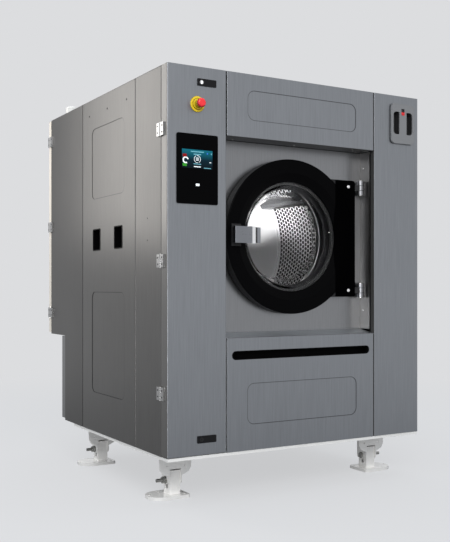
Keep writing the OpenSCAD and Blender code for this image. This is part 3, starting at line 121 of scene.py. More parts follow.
# Every sheet and bar of the machine shows lines of grinding or brushing, and
# faint clouds of handling. One group makes both.
surface, given = new_tree(
    "ShaderNodeTree", "worked_surface",
    {"Color": ("Color", (0.5, 0.5, 0.5, 1)), "Roughness": ("Float", 0.4),
     "Lines": ("Vector", (120, 120, 3)), "Line strength": ("Float", 0.1),
     "Cloud size": ("Float", 3.0), "Cloud strength": ("Float", 0.05),
     "Roughness spread": ("Float", 0.1)},
    {"Color": "Color", "Roughness": "Float", "Height": "Float"})
place = object_place(surface)
lines = add(surface, "ShaderNodeTexNoise",
            {"Vector": vector(surface, "MULTIPLY", place, given["Lines"]),
             "Scale": 1.0, "Detail": 5.0, "Roughness": 0.65})
clouds = add(surface, "ShaderNodeTexNoise",
             {"Vector": place, "Scale": given["Cloud size"], "Detail": 4.0,
              "Roughness": 0.6})
line_tone = calc(surface, "SUBTRACT", lines, 0.5)
cloud_tone = calc(surface, "SUBTRACT", clouds, 0.5)
tone = calc(surface, "MULTIPLY_ADD", cloud_tone, given["Cloud strength"],
            calc(surface, "MULTIPLY_ADD", line_tone, given["Line strength"],
                 1.0))
rough = calc(surface, "MULTIPLY_ADD", cloud_tone, given["Roughness spread"],
             calc(surface, "MULTIPLY_ADD", line_tone,
                  given["Roughness spread"], given["Roughness"]), clamp=True)
add(surface, "NodeGroupOutput",
    {"Color": vector(surface, "SCALE", given["Color"], Scale=tone),
     "Roughness": rough, "Height": lines})


relief_height = 0.0004


def three(value):
    """Three numbers, from three or from one."""
    return value if isinstance(value, tuple) else (value,) * 3


def finish(name, colour, roughness, metallic=1.0, lines=(300, 300, 6),
           line_strength=0.12, cloud_size=3.0, cloud_strength=0.06,
           spread=0.1, bump=0.0, **sockets):
    """A material of the worked surface: its colour, gloss and lines."""
    made = bpy.data.materials.new(name)
    made.use_nodes = True
    tree = made.node_tree
    worked = add(tree, "ShaderNodeGroup", {
        "Color": (*three(colour), 1), "Roughness": roughness,
        "Lines": three(lines), "Line strength": line_strength,
        "Cloud size": cloud_size, "Cloud strength": cloud_strength,
        "Roughness spread": spread}, node_tree=surface)
    if bump:
        sockets["Normal"] = add(tree, "ShaderNodeBump", {
            "Height": worked.outputs["Height"], "Strength": bump,
            "Distance": relief_height})
    for label, value in {"Base_Color": worked.outputs["Color"],
                         "Roughness": worked.outputs["Roughness"],
                         "Metallic": metallic, **sockets}.items():
        join(tree, value, tree.nodes["Principled BSDF"].inputs[
            label.replace("_", " ")])
    return made


# Some sheets and castings are finished differently in one zone, such as a
# ground barrel on a painted leaf, and other zones are given painted shade and
# painted highlights. This group marks a zone about a point, a line or a plane,
# which Across chooses.
zones, given = new_tree(
    "ShaderNodeTree", "finish_and_painted_light_zone",
    {"Centre": ("Vector", (0, 0, 0)), "Across": ("Vector", (1, 1, 1)),
     "Reach": ("Float", 0.01), "Softness": ("Float", 0.0004)},
    {"Inside": "Float", "Outside": "Float"})
off = vector(zones, "SUBTRACT", object_place(zones), given["Centre"])
away = vector(zones, "LENGTH", vector(zones, "MULTIPLY", off, given["Across"]))
past = calc(zones, "DIVIDE", calc(zones, "SUBTRACT", away, given["Reach"]),
            given["Softness"])
outside = calc(zones, "ADD", past, 0.5, clamp=True)
add(zones, "NodeGroupOutput",
    {"Outside": outside, "Inside": calc(zones, "SUBTRACT", 1.0, outside)})


def in_zone(material, reach, colour, side="Inside", x=None, y=None, z=None,
            **values):
    """Gives a material another colour and other values inside or outside a
    zone: within a reach of the cabinet's X, Y and Z that are given."""
    tree = material.node_tree
    zone = add(tree, "ShaderNodeGroup", {
        "Centre": at(x or 0, y or 0, z or 0), "Reach": reach,
        "Across": [float(value is not None) for value in (x, y, z)]},
        node_tree=zones)
    for label, value in {"Base_Color": (*three(colour), 1), **values}.items():
        socket = tree.nodes["Principled BSDF"].inputs[label.replace("_", " ")]
        before = (socket.links[0].from_socket if socket.links
                  else socket.default_value)
        kind = "RGBA" if label == "Base_Color" else "FLOAT"
        join(tree, mix(tree, zone.outputs[side], before, value, kind), socket)


def dress(material, *names):
    """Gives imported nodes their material, and hands it back."""
    for name in names:
        mesh = nodes[name].data
        mesh.materials.clear()
        mesh.materials.append(material)
    return material


dress(finish("base_stainless", (0.95, 0.94, 0.92), 0.42, metallic=0.3,
             lines=(260, 260, 40), cloud_strength=0.10), "base_frame")
dress(finish("frame_stainless", (0.50, 0.50, 0.49), 0.45,
             lines=(260, 260, 40), cloud_strength=0.12), "upper_frame")


# ------------------------------------------------ Legs
# Box posts of stainless tube on thick foot plates, each clamped in its
# bracket by one long bolt through the slots, so the height can be set.

dress(finish("leg_stainless", (0.97, 0.955, 0.93), 0.16, metallic=0.2,
             lines=(200, 200, 60), cloud_size=14, cloud_strength=0.2),
      "leg_posts", "foot_plates")
dress(finish("clamp_steel", (0.30, 0.30, 0.29), 0.22, lines=500,
             line_strength=0.1, cloud_size=40, cloud_strength=0.25),
      "leg_clamp_bolts")


# ------------------------------------------------ Tub and suspension
# The outer tub of rolled stainless hangs on four rubber air springs with an
# oil damper beside each, and carries the drum's bearings at its back.

def coat(name, colour, roughness, lines, **values):
    """A finish of paint, plastic or rubber, with a fine even grain."""
    return finish(name, colour, roughness, metallic=0.0, lines=lines, **values)


# The tub and the drum have one axis. Inside, the tub is rougher and painted
# near black, as painted shade behind the drum's holes.
drum_x, drum_z = 680, 970
tub_stainless = dress(
    finish("tub_stainless", (0.34, 0.34, 0.35), 0.40, lines=(40, 300, 40),
           cloud_strength=0.15), "tub_shell", "tub_back")
in_zone(tub_stainless, 0.54, (0.03, 0.03, 0.032), x=drum_x, z=drum_z,
        Roughness=0.6)
dress(finish("cast_grey", (0.16, 0.165, 0.17), 0.62, metallic=0.35,
             lines=900, line_strength=0.3, bump=0.5), "bearing_housing")
bolt_steel = dress(
    finish("bolt_steel", (0.72, 0.71, 0.69), 0.20, lines=500,
           line_strength=0.08, cloud_size=40, cloud_strength=0.2),
    "bearings", "damper_rods")
dress(coat("grey_paint", (0.36, 0.37, 0.39), 0.38, 600, line_strength=0.08,
           bump=0.1), "tub_brackets")
dark_paint = dress(
    coat("dark_paint", (0.012, 0.012, 0.013), 0.42, 600, line_strength=0.15,
         bump=0.1, Specular_IOR_Level=0.3), "damper_bodies")
black_plastic = dress(
    coat("black_plastic", (0.014, 0.014, 0.015), 0.45, 1500,
         line_strength=0.2, bump=0.15), "drain_valve")


# ------------------------------------------------ Drive
# A finned induction motor below the tub turns the drum's pulley by a belt.
# Its inverter hangs on the left front post behind the control door.

dress(coat("motor_paint", (0.10, 0.125, 0.17), 0.42, 500, bump=0.15), "motor")
dress(finish("pulley_iron", (0.30, 0.30, 0.31), 0.45, metallic=0.8,
             lines=(30, 500, 30), line_strength=0.25),
      "drum_pulley", "motor_pulley")
rubber_black = dress(
    coat("rubber_black", (0.022, 0.022, 0.023), 0.62, 700, line_strength=0.2,
         bump=0.15), "drive_belt")
dress(coat("inverter_grey", (0.42, 0.43, 0.45), 0.45, 900, bump=0.1),
      "drive_inverter")


# ------------------------------------------------ Drum
# The drum is rolled from a sheet with staggered drain holes and welded to a
# plain back. Its front has a rolled lip. It is polished bright inside.

def piece_of(name, data):
    """An object of a mesh, lamp or camera, in the scene at the origin."""
    made = bpy.data.objects.new(name, data)
    bpy.context.scene.collection.objects.link(made)
    return made


def shape_tree(name, sizes):
    """A geometry tree with a start geometry, named sizes and a material."""
    return new_tree("GeometryNodeTree", name,
                    {"Geometry": "Geometry", **sizes, "Material": "Material"},
                    {"Geometry": "Geometry"})


def xyz(tree, x=0.0, y=0.0, z=0.0):
    """A vector in a geometry tree, from its three parts."""
    return add(tree, "ShaderNodeCombineXYZ", {0: x, 1: y, 2: z})


def around(tree, angle, reach):
    """Both parts of a place at an angle and a reach about an axis."""
    return [calc(tree, "MULTIPLY", reach, calc(tree, way, angle))
            for way in ("COSINE", "SINE")]


def moved(tree, shape, **sockets):
    """A shape in a tree, with its points set elsewhere."""
    return add(tree, "GeometryNodeSetPosition", {"Geometry": shape, **sockets})


def drawn_out(tree, shape, height, **sockets):
    """A shape in a tree, with its faces drawn out as one."""
    return add(tree, "GeometryNodeExtrudeMesh",
               {"Mesh": shape, "Offset Scale": height, "Individual": False,
                **sockets}, mode="FACES")


def joined(tree, *shapes):
    """Shapes in a tree, made one."""
    whole = add(tree, "GeometryNodeJoinGeometry")
    for shape in shapes:
        join(tree, shape, whole.inputs[0])
    return whole


def merged(tree, shape, gap=0.0002):
    """A shape in a tree, with the points along its seams merged."""
    return add(tree, "GeometryNodeMergeByDistance",
               {"Geometry": shape, "Distance": gap})


def give_out(tree, given, shape):
    """Ends a geometry tree with a shape, in the material it is given."""
    add(tree, "NodeGroupOutput", {0: add(
        tree, "GeometryNodeSetMaterial",
        {"Geometry": shape, "Material": given["Material"]})})


def grow(name, tree, start, values):
    """The plain mesh piece that a geometry tree makes from a start mesh."""
    made = piece_of(name, start)
    shaping = made.modifiers.new("shape", "NODES")
    shaping.node_group = tree
    for item in tree.interface.items_tree:
        if item.in_out == "INPUT" and item.name in values:
            shaping[item.identifier] = values[item.name]
    made.update_tag()
    depsgraph = bpy.context.evaluated_depsgraph_get()
    mesh = bpy.data.meshes.new_from_object(
        made.evaluated_get(depsgraph), depsgraph=depsgraph)
    made.modifiers.clear()
    made.data = mesh
    return made


def fitted(piece, body, slot, *replaced):
    """Fixes a piece to its body, and hides what it stands for. The slot is not
    used.
    """
    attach(piece, body)
    if replaced:
        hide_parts(*replaced)
    return piece


# The perforated sheet: six-cornered cells with a round hole each, set in
# staggered rows, given the sheet's thickness and rolled to the drum's round.
# A cell starts as twelve points, of which every second one is drawn in to the
# middle of a hexagon's side.
perforated, given = shape_tree("perforated_sheet", {
    "Rows": "Int", "Cells round": "Int", "Pitch": "Float",
    "Row pitch": "Float", "Hole": "Vector", "Radius": "Float",
    "Thickness": "Float", "Start": "Float", "Centre": "Vector"})
pitch, rows_apart, round_count = (
    given["Pitch"], given["Row pitch"], given["Cells round"])
number = add(perforated, "GeometryNodeInputIndex").outputs[0]
where = add(perforated, "GeometryNodeInputPosition").outputs[0]
cell = add(perforated, "GeometryNodeMeshCircle",
           {"Vertices": 12,
            "Radius": calc(perforated, "DIVIDE", pitch, math.sqrt(3))},
           fill_type="NGON")
drawn_in = vector(perforated, "SCALE", where, Scale=calc(
    perforated, "MULTIPLY_ADD", calc(perforated, "MODULO", number, 2.0),
    math.cos(math.pi / 6) - 1, 1.0))
stretch = xyz(perforated, calc(
    perforated, "DIVIDE", calc(perforated, "DIVIDE", rows_apart, pitch),
    math.sqrt(3) / 2), 1.0, 1.0)
hexagon = moved(perforated, cell, Position=vector(
    perforated, "MULTIPLY", drawn_in, stretch))
raised = drawn_out(perforated, hexagon, 0.0, Individual=True)
outward = vector(perforated, "NORMALIZE",
                 vector(perforated, "DIVIDE", where, stretch))
hole = moved(perforated, raised, Selection=raised.outputs["Top"],
             Position=vector(perforated, "MULTIPLY", outward, given["Hole"]))
ring = add(perforated, "GeometryNodeDeleteGeometry",
           {"Geometry": hole, "Selection": raised.outputs["Top"]},
           domain="FACE")
points = add(perforated, "GeometryNodePoints", {"Count": calc(
    perforated, "MULTIPLY", given["Rows"], round_count)})
row = calc(perforated, "FLOOR",
           calc(perforated, "DIVIDE", number, round_count))
along = calc(perforated, "MULTIPLY_ADD",
             calc(perforated, "MODULO", row, 2.0), 0.5,
             calc(perforated, "MODULO", number, round_count))
placed = moved(perforated, points, Position=xyz(
    perforated, calc(perforated, "MULTIPLY", row, rows_apart),
    calc(perforated, "MULTIPLY", along, pitch)))
cells = add(perforated, "GeometryNodeRealizeInstances", {"Geometry": add(
    perforated, "GeometryNodeInstanceOnPoints",
    {"Points": placed, "Instance": ring})})
sheet = merged(perforated, cells)
thick = drawn_out(perforated, sheet, given["Thickness"], Offset=(0, 0, 1))
under = add(perforated, "GeometryNodeFlipFaces", {"Mesh": sheet})
both = joined(perforated, thick, under)
flat = add(perforated, "ShaderNodeSeparateXYZ", {0: where}).outputs
rolled_x, rolled_z = around(
    perforated, calc(perforated, "DIVIDE", flat["Y"], given["Radius"]),
    calc(perforated, "ADD", flat["Z"], given["Radius"]))
rolled = vector(perforated, "ADD", xyz(
    perforated, rolled_x, calc(perforated, "ADD", flat["X"], given["Start"]),
    rolled_z), given["Centre"])
give_out(perforated, given, merged(
    perforated, moved(perforated, both, Position=rolled)))

drum_centre = at(drum_x, 0, drum_z)
drum_inside = 0.480
drum_sheet = 0.003
cells_round = 126
hole_pitch = 2 * math.pi * drum_inside / cells_round
row_pitch = 0.0236
row_count = 13
drum_steel = finish("drum_steel", (0.50, 0.50, 0.51), 0.26, lines=60,
                    line_strength=0.10, cloud_size=5, cloud_strength=0.10,
                    spread=0.06)
band_a = 246
band_b = band_a + (row_count + 0.5) * row_pitch * 1000
for number, start in enumerate((band_a, band_b)):
    fitted(grow(f"drum_holes_{number + 1}", perforated,
                bpy.data.meshes.new("holes"),
                {"Rows": row_count, "Cells round": cells_round,
                 "Pitch": hole_pitch, "Row pitch": row_pitch,
                 "Hole": (0.0108, 0.0100, 0), "Radius": drum_inside,
                 "Thickness": drum_sheet, "Start": at(0, start, 0).y,
                 "Centre": Vector((drum_centre.x, 0, drum_centre.z)),
                 "Material": drum_steel}), "drum", "drum_steel")


def meshed(shape, name, material):
    """A mesh of a built shape, with its faces outward and its material."""
    mesh = bpy.data.meshes.new(name)
    bmesh.ops.recalc_face_normals(shape, faces=shape.faces)
    shape.to_mesh(mesh)
    shape.free()
    mesh.materials.append(material)
    return mesh


def ring_profile(name, points, material, segments=252):
    """A closed ring turned about the drum's axis from points of radius and
    depth in millimetres."""
    shape = bmesh.new()
    rows = []
    for i in range(segments):
        a = 2 * math.pi * i / segments
        rows.append([shape.verts.new((
            drum_centre.x + r / 1000 * math.cos(a), at(0, y, 0).y,
            drum_centre.z + r / 1000 * math.sin(a))) for r, y in points])
    for here, after in zip(rows, rows[1:] + rows[:1]):
        for j in range(len(points)):
            k = (j + 1) % len(points)
            shape.faces.new((here[j], here[k], after[k], after[j]))
    return meshed(shape, name, material)


def arc(cx, cy, r, a0, a1, n=6):
    """Points of a round corner, angles in degrees."""
    return [(cx + r * math.cos(math.radians(a0 + (a1 - a0) * i / n)),
             cy + r * math.sin(math.radians(a0 + (a1 - a0) * i / n)))
            for i in range(n + 1)]


def smooth(mesh, limit=32):
    """Smooth faces with sharp corners over a limit angle."""
    mesh.shade_smooth()
    mesh.set_sharp_from_angle(angle=math.radians(limit))
    return mesh


# Plain rings before and behind the perforated sheet, whose cells reach 0.7 of
# a row's pitch past their row. The front ring turns in to the rolled lip round
# the mouth, and both lap a little over the sheet.
inner, outer = drum_inside * 1000, (drum_inside + drum_sheet) * 1000
mouth, drum_front, drum_rear = 266, 205, 890
edge, lip, wall, lap = 12, 6, 3, 4
front_end = band_a - 0.7 * row_pitch * 1000 + 1
rear_start = band_b + (row_count - 0.3) * row_pitch * 1000
lip_steel = finish("lip_steel", (0.20, 0.20, 0.205), 0.34, lines=60,
                   line_strength=0.1, cloud_size=5)
fitted(piece_of("drum_front_ring", smooth(ring_profile("drum_rings", (
    [(inner, front_end + lap), (outer, front_end + lap)]
    + arc(outer - edge, drum_front + edge, edge, 0, -90)
    + arc(mouth + lip, drum_front - 2, lip, -90, -180)
    + [(mouth, drum_front + edge), (mouth + wall, drum_front + edge),
       (mouth + wall, drum_front + wall), (inner - 8, drum_front + wall),
       (inner, drum_front + 11)]), lip_steel))),
    "drum", "drum_steel", "drum_shell")
fitted(piece_of("drum_rear_ring", smooth(ring_profile("drum_rear_ring", [
    (inner, rear_start - lap), (inner, drum_rear), (outer, drum_rear),
    (outer, rear_start - lap)], drum_steel))), "drum", "drum_steel")

dress(finish("drum_back_steel", (0.78, 0.78, 0.79), 0.55, metallic=0.45,
             lines=4, line_strength=0.05, spread=0.05), "drum_back")
dress(finish("lifter_steel", (0.10, 0.102, 0.106), 0.32, lines=(300, 6, 300),
             line_strength=0.15, cloud_size=8, cloud_strength=0.08),
      "drum_lifters")
dress(bolt_steel, "drum_shaft")


def spots_mesh(name, spots):
    """Loose points, each with the way that it faces."""
    mesh = bpy.data.meshes.new(name)
    mesh.from_pydata([place for place, _ in spots], [], [])
    facing = mesh.attributes.new("facing", "FLOAT_VECTOR", "POINT")
    facing.data.foreach_set("vector", [v for _, way in spots for v in way])
    return mesh


def on_spots(tree, given, shape):
    """Ends a tree: its shape stands on each spot, turned as the spot faces."""
    way = add(tree, "GeometryNodeInputNamedAttribute", {"Name": "facing"},
              data_type="FLOAT_VECTOR")
    turn = add(tree, "FunctionNodeAlignRotationToVector", {"Vector": way},
               axis="Z")
    placed = add(tree, "GeometryNodeInstanceOnPoints",
                 {"Points": given["Geometry"], "Instance": shape,
                  "Rotation": turn})
    give_out(tree, given, add(tree, "GeometryNodeRealizeInstances",
                              {"Geometry": placed}))


# Rows of small pressed dimples in the lifters' flanks, where water runs off.
dimple, given = shape_tree("dimple", {"Radius": "Float", "Height": "Float"})
on_spots(dimple, given, add(dimple, "GeometryNodeMeshCone", {
    "Vertices": 8, "Radius Bottom": given["Radius"],
    "Radius Top": calc(dimple, "MULTIPLY", given["Radius"], 0.6),
    "Depth": given["Height"]}))
dimple_steel = finish("dimple_steel", (0.30, 0.30, 0.305), 0.25, lines=60,
                      line_strength=0.1)
lifter_turn = 58.5
root_across, root_out, tip_across, tip_out = 48, 477.7, 12.9, 428.5
first_dimple, dimple_pitch, dimples_a_row = 270, 30, 20
spots = []
for number in range(3):
    turn = Matrix.Rotation(math.radians(lifter_turn + 120 * number), 3, "Y")
    for side in (-1, 1):
        way = Vector((side * (root_out - tip_out), 0,
                      tip_across - root_across)).normalized()
        for share in (0.25, 0.45, 0.65):
            across = side * (root_across + share * (tip_across - root_across))
            out = root_out + share * (tip_out - root_out)
            flank = drum_centre + turn @ (Vector((across, 0, out)) / 1000)
            for i in range(dimples_a_row):
                depth = (first_dimple + dimple_pitch * i) / 1000
                spots.append((flank + Vector((0, depth, 0)), turn @ way))
fitted(grow("lifter_dimples", dimple, spots_mesh("lifter_spots", spots),
            {"Radius": 0.0032, "Height": 0.0012, "Material": dimple_steel}),
       "drum", "drum_steel")


# ------------------------------------------------ Air springs
# Four two-lobed bellows of moulded rubber, clamped to the base below and to
# the tub's brackets above.

air_spring, given = shape_tree("air_spring", {
    "Radius": "Float", "Waist": "Float", "Height": "Float", "Bead": "Float"})
tube = add(air_spring, "GeometryNodeMeshGrid",
           {"Size X": 1.0, "Size Y": 1.0, "Vertices X": 49, "Vertices Y": 49})
where = add(air_spring, "ShaderNodeSeparateXYZ", {
    0: add(air_spring, "GeometryNodeInputPosition")}).outputs
turn = calc(air_spring, "MULTIPLY", where["X"], 2 * math.pi)
height = calc(air_spring, "MULTIPLY",
              calc(air_spring, "ADD", where["Y"], 0.5), given["Height"])
lobed = calc(air_spring, "SUBTRACT", given["Height"],
             calc(air_spring, "MULTIPLY", given["Bead"], 2.0))
share = calc(air_spring, "DIVIDE",
             calc(air_spring, "SUBTRACT", height, given["Bead"]), lobed)
share = calc(air_spring, "MINIMUM",
             calc(air_spring, "MAXIMUM", share, 0.0), 1.0)
wave = calc(air_spring, "SINE",
            calc(air_spring, "MULTIPLY", share, 2 * math.pi))
swell = calc(air_spring, "POWER", calc(air_spring, "ABSOLUTE", wave), 0.6)
reach = calc(air_spring, "MULTIPLY_ADD", swell,
             calc(air_spring, "SUBTRACT", given["Radius"], given["Waist"]),
             given["Waist"])
bellows = moved(air_spring, tube, Position=xyz(
    air_spring, *around(air_spring, turn, reach), height))
disc = add(air_spring, "GeometryNodeMeshCircle",
           {"Vertices": 48, "Radius": given["Waist"]}, fill_type="NGON")
lid = moved(air_spring, disc, Offset=xyz(air_spring, z=given["Height"]))
seat = add(air_spring, "GeometryNodeFlipFaces", {"Mesh": disc})
on_spots(air_spring, given, merged(air_spring, joined(
    air_spring, bellows, lid, seat)))
springs = grow("air_spring_bellows", air_spring, spots_mesh(
    "spring_spots", [(at(x, y, 60.2), (0, 0, 1))
                     for x in (250, 1110) for y in (233, 830)]),
    {"Radius": 0.0845, "Waist": 0.058, "Height": 0.2392, "Bead": 0.014,
     "Material": rubber_black})
smooth(springs.data, 50)
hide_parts("air_springs")
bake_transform(springs)


# ------------------------------------------------ Side walls
# Each side is three folded sheets of brushed stainless. The middle one has
# two pressed fields and two recessed grips of black plastic.

def variant(material, name):
    """A copy of a material, for zones of its own."""
    made = material.copy()
    made.name = name
    return made


no_shine = {"Metallic": 0.0, "Specular_IOR_Level": 0.0}
side_brushing = {"lines": (130, 130, 7), "line_strength": 0.6,
                 "cloud_size": 1.3, "spread": 0.14}
side_steel = dress(finish("side_steel", (0.125, 0.1235, 0.121), 0.40,
                          **side_brushing), "side_front_panels")
# The front sheet's edge, at its seam with the control door, is in shade.
in_zone(side_steel, 0.0008, 0.01, y=58.5, **no_shine)
# The rear side sheets take a darker copy of the side's steel, as painted shade
# where the light falls off towards the back.
dress(finish("rear_side_steel_painted_shade", (0.100, 0.0985, 0.0965), 0.40,
             **side_brushing), "side_rear_panels")

# A pressed field's rim catches a fine line of shade. The group draws a
# rounded rectangle's outline about a centre.
field_corner = 0.035
rims, given = new_tree(
    "ShaderNodeTree", "pressed_rim_shade",
    {"Centre": ("Vector", (0, 0, 0)), "Half": ("Vector", (1, 1, 1)),
     "Corner": ("Float", field_corner), "Width": ("Float", 0.0025)},
    {"Line": "Float"})
off = vector(rims, "ABSOLUTE", vector(
    rims, "SUBTRACT", object_place(rims), given["Centre"]))
off = vector(rims, "MAXIMUM", vector(rims, "SUBTRACT", off, given["Half"]),
             (0, 0, 0))
away = calc(rims, "ABSOLUTE", calc(
    rims, "SUBTRACT", vector(rims, "LENGTH", off), given["Corner"]))
add(rims, "NodeGroupOutput", {"Line": calc(
    rims, "SUBTRACT", 1.0, calc(rims, "DIVIDE", away, given["Width"]),
    clamp=True)})
unbounded = 9


def pressed(material, centre, half, depth=0.9):
    """Paints a fine dark line of shade along a pressed field's rim in a
    material, as painted shade; depth sets how dark it is. Half is half of the
    field's size less its corner, in metres."""
    tree = material.node_tree
    socket = tree.nodes["Principled BSDF"].inputs["Base Color"]
    rim = add(tree, "ShaderNodeGroup", {"Centre": centre, "Half": half},
              node_tree=rims)
    share = calc(tree, "MULTIPLY", rim, depth)
    join(tree, mix(tree, share, socket.links[0].from_socket,
                   (0.01, 0.01, 0.01, 1)), socket)


centre_steel = dress(variant(side_steel, "centre_steel"), "side_centre_panels")
for z, height in ((1358, 356), (454, 508)):
    pressed(centre_steel, at(0, 658, z),
            (unbounded, 0.2030 - field_corner,
             height / 2000 - field_corner))


# A socket screw: a turned head with a broken edge and a six-sided recess.
screw, given = shape_tree("socket_screw", {
    "Radius": "Float", "Height": "Float", "Key": "Float"})
disc = add(screw, "GeometryNodeMeshCircle",
           {"Vertices": 24, "Radius": given["Radius"]}, fill_type="NGON")
edge_height = calc(screw, "MULTIPLY", given["Height"], 0.3)
side_up = drawn_out(screw, disc, calc(screw, "SUBTRACT", given["Height"],
                                      edge_height))
edge_up = drawn_out(screw, side_up, edge_height,
                    Selection=side_up.outputs["Top"])
point = add(screw, "GeometryNodeInputPosition").outputs[0]
top_in = moved(screw, edge_up, Selection=edge_up.outputs["Top"],
               Position=vector(screw, "MULTIPLY", point, (0.88, 0.88, 1.0)))
recess = drawn_out(screw, top_in, 0.0, Selection=edge_up.outputs["Top"])
parts = add(screw, "ShaderNodeSeparateXYZ", {0: point}).outputs
turn = calc(screw, "ARCTAN2", parts["Y"], parts["X"])
within = calc(screw, "SUBTRACT", calc(screw, "FLOORED_MODULO", turn,
                                      math.pi / 3), math.pi / 6)
reach = calc(screw, "DIVIDE", given["Key"], calc(screw, "COSINE", within))
keyed = moved(screw, recess, Selection=recess.outputs["Top"],
              Position=xyz(screw, *around(screw, turn, reach), parts["Z"]))
sunk = drawn_out(screw, keyed, calc(screw, "MULTIPLY", given["Height"], -0.6),
                 Selection=recess.outputs["Top"])
seat = add(screw, "GeometryNodeFlipFaces", {"Mesh": disc})
on_spots(screw, given, merged(screw, joined(screw, sunk, seat), 0.00002))


def screws(name, material, radius, height, spots, body="cabinet"):
    """Socket screws of a size in millimetres, at places on the cabinet, each
    facing a way. The key is a little under half as wide as the head."""
    placed = [(at(*place), way) for place, way in spots]
    return fitted(grow(name, screw, spots_mesh(name, placed),
                       {"Radius": radius / 1000, "Height": height / 1000,
                        "Key": radius / 2200, "Material": material}),
                  body, "bolt_steel")


left, right, back = (-1, 0, 0), (1, 0, 0), (0, 1, 0)
up, down = (0, 0, 1), (0, 0, -1)
cabinet_width, cabinet_height, rear_face = 1420, 1690, 1495
for name, radius, places in (
        ("side_screws", 5, ((426, 1612), (660, 1611), (897, 1611))),
        ("small_side_screws", 3, ((197, 1039), (197, 941)))):
    screws(name, dark_paint, radius, 1.1,
           [((x, y, z), way) for x, way in ((0, left), (cabinet_width, right))
            for y, z in places])
dress(coat("grip_plastic", (0.002, 0.002, 0.0022), 0.40, 1200, bump=0.1,
           Specular_IOR_Level=0.05), "side_grips")


# ------------------------------------------------ Roof and vent
# A flat folded sheet, with a white moulded cap over the tub's air vent.

dress(finish("roof_steel", 0.15, 0.50, lines=(170, 2.5, 170),
             line_strength=0.16, cloud_size=2, cloud_strength=0.1),
      "roof_panel")
dress(coat("vent_white", (0.78, 0.78, 0.76), 0.35, 800, line_strength=0.03,
           bump=0.05), "roof_vent")
screws("roof_screws", bolt_steel, 4.5, 1.8,
       [((x, y, cabinet_height), up)
        for x in (24, 710, 1396) for y in (90, 790, 1470)])


# ------------------------------------------------ Front panels
# Brushed stainless sheets with folded edges, hung on the frame. The long
# slot of the lower panel is lined with a black moulding.

front_steel = dress(
    finish("front_steel", (0.285, 0.299, 0.320), 0.40, lines=(190, 190, 5),
           line_strength=0.42, cloud_size=1.6, cloud_strength=0.05,
           spread=0.12), "front_right_column")
# The seams beside the columns are in shade, and so is the top panel's lower
# edge. The lower panel's sloped sill faces up and is painted paler, as painted
# light.
for x, tone, reach in ((293.5, 0.03, 0.0022), (1133.5, 0.06, 0.0018)):
    in_zone(front_steel, reach, tone, x=x, **no_shine)
panel_middle, front_rim_shade = 712, 0.75
lower_steel = dress(variant(front_steel, "lower_steel"), "front_lower_panel")
in_zone(lower_steel, 0.050, (0.62, 0.65, 0.68), y=54)
pressed(lower_steel, at(panel_middle, 0, 208),
        (0.2755, unbounded, 0.0565), front_rim_shade)
top_steel = dress(variant(front_steel, "top_steel"), "front_top_panel")
in_zone(top_steel, 0.0022, 0.012, z=1403, Metallic=0.0)
pressed(top_steel, at(panel_middle, 0, 1550.5),
        (0.2725, unbounded, 0.0315), front_rim_shade)

alcove_steel = dress(
    finish("alcove_steel", (0.27, 0.275, 0.285), 0.30, lines=(190, 190, 5),
           line_strength=0.36, cloud_size=2.0, cloud_strength=0.05,
           spread=0.08), "alcove_liner")
# Its right wall is painted a warmer tone of its own, which stands in for the
# light that falls on it, and its ceiling is in shade.
in_zone(alcove_steel, 0.0012, (0.26, 0.255, 0.25), x=1127)
in_zone(alcove_steel, 0.0016, (0.035, 0.035, 0.036), z=1402.7)
screws("alcove_screws", bolt_steel, 4, 1.8,
       [((x, y, 1403), down) for x, y in ((365, 70), (700, 66), (1052, 66))]
       + [((1127, 75, z), left) for z in (617, 1324)])
dress(coat("slot_black", (0.002, 0.002, 0.0022), 0.5, 1200, bump=0.1,
           Specular_IOR_Level=0.02), "lower_slot_insert")


# ------------------------------------------------ Door boot
# A rubber bellows joins the alcove's port to the tub's mouth and seals on
# the door's glass.

boot_rubber = coat("boot_rubber", (0.010, 0.010, 0.011), 0.30, 60,
                   line_strength=0.15, spread=0.06, Specular_IOR_Level=0.35)
# Two and a half folds, between the bead in the port and the tub's collar.
outside = [(285.5 + 4.5 * t + 2.2 * math.sin(5 * math.pi * t), 109.5 + 28 * t)
           for t in (i / 36 for i in range(37))]
boot = piece_of("door_bellows", smooth(ring_profile("door_bellows", (
    [(301, 102.7), (301, 107.3), (286.5, 107.6)] + outside
    + [(296, 141), (300.5, 148), (301, 174), (297.3, 174), (297.3, 158),
       (291, 149.5), (286, 141)]
    + [(r - 6, y) for r, y in outside[::-1]] + [(272, 109), (245, 109.8)]
    + arc(232.6, 108, 2.5, 90, 270, 8)
    + [(244, 103.4), (259, 101.3), (273, 99.1), (281, 99.1), (281, 102.7)]),
    boot_rubber, segments=160), 40))
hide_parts("door_boot")
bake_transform(boot)


# ------------------------------------------------ Drum door
# A ring of black enamelled steel with a wing to its two ground hinges holds
# a pressed bowl of smoked glass in a rubber gasket.

enamel = dress(
    coat("door_enamel", (0.0022, 0.0022, 0.0025), 0.30, 500,
         line_strength=0.2, bump=0.04, Specular_IOR_Level=0.02), "door_frame")
# The ring's outer edge catches light. The wing is duller than the ring.
in_zone(enamel, 0.3622, (0.03, 0.03, 0.031), "Outside", x=drum_x, z=drum_z)
in_zone(enamel, 0.09, (0.001, 0.001, 0.0012), x=1020, Specular_IOR_Level=0.0)
dress(rubber_black, "glass_gasket")
hinge_stainless = dress(
    finish("hinge_stainless", 0.38, 0.28, lines=(250, 250, 8),
           line_strength=0.2, cloud_size=30, cloud_strength=0.1),
    "control_door_hinge_leaves", "rear_door_hinge_leaves")
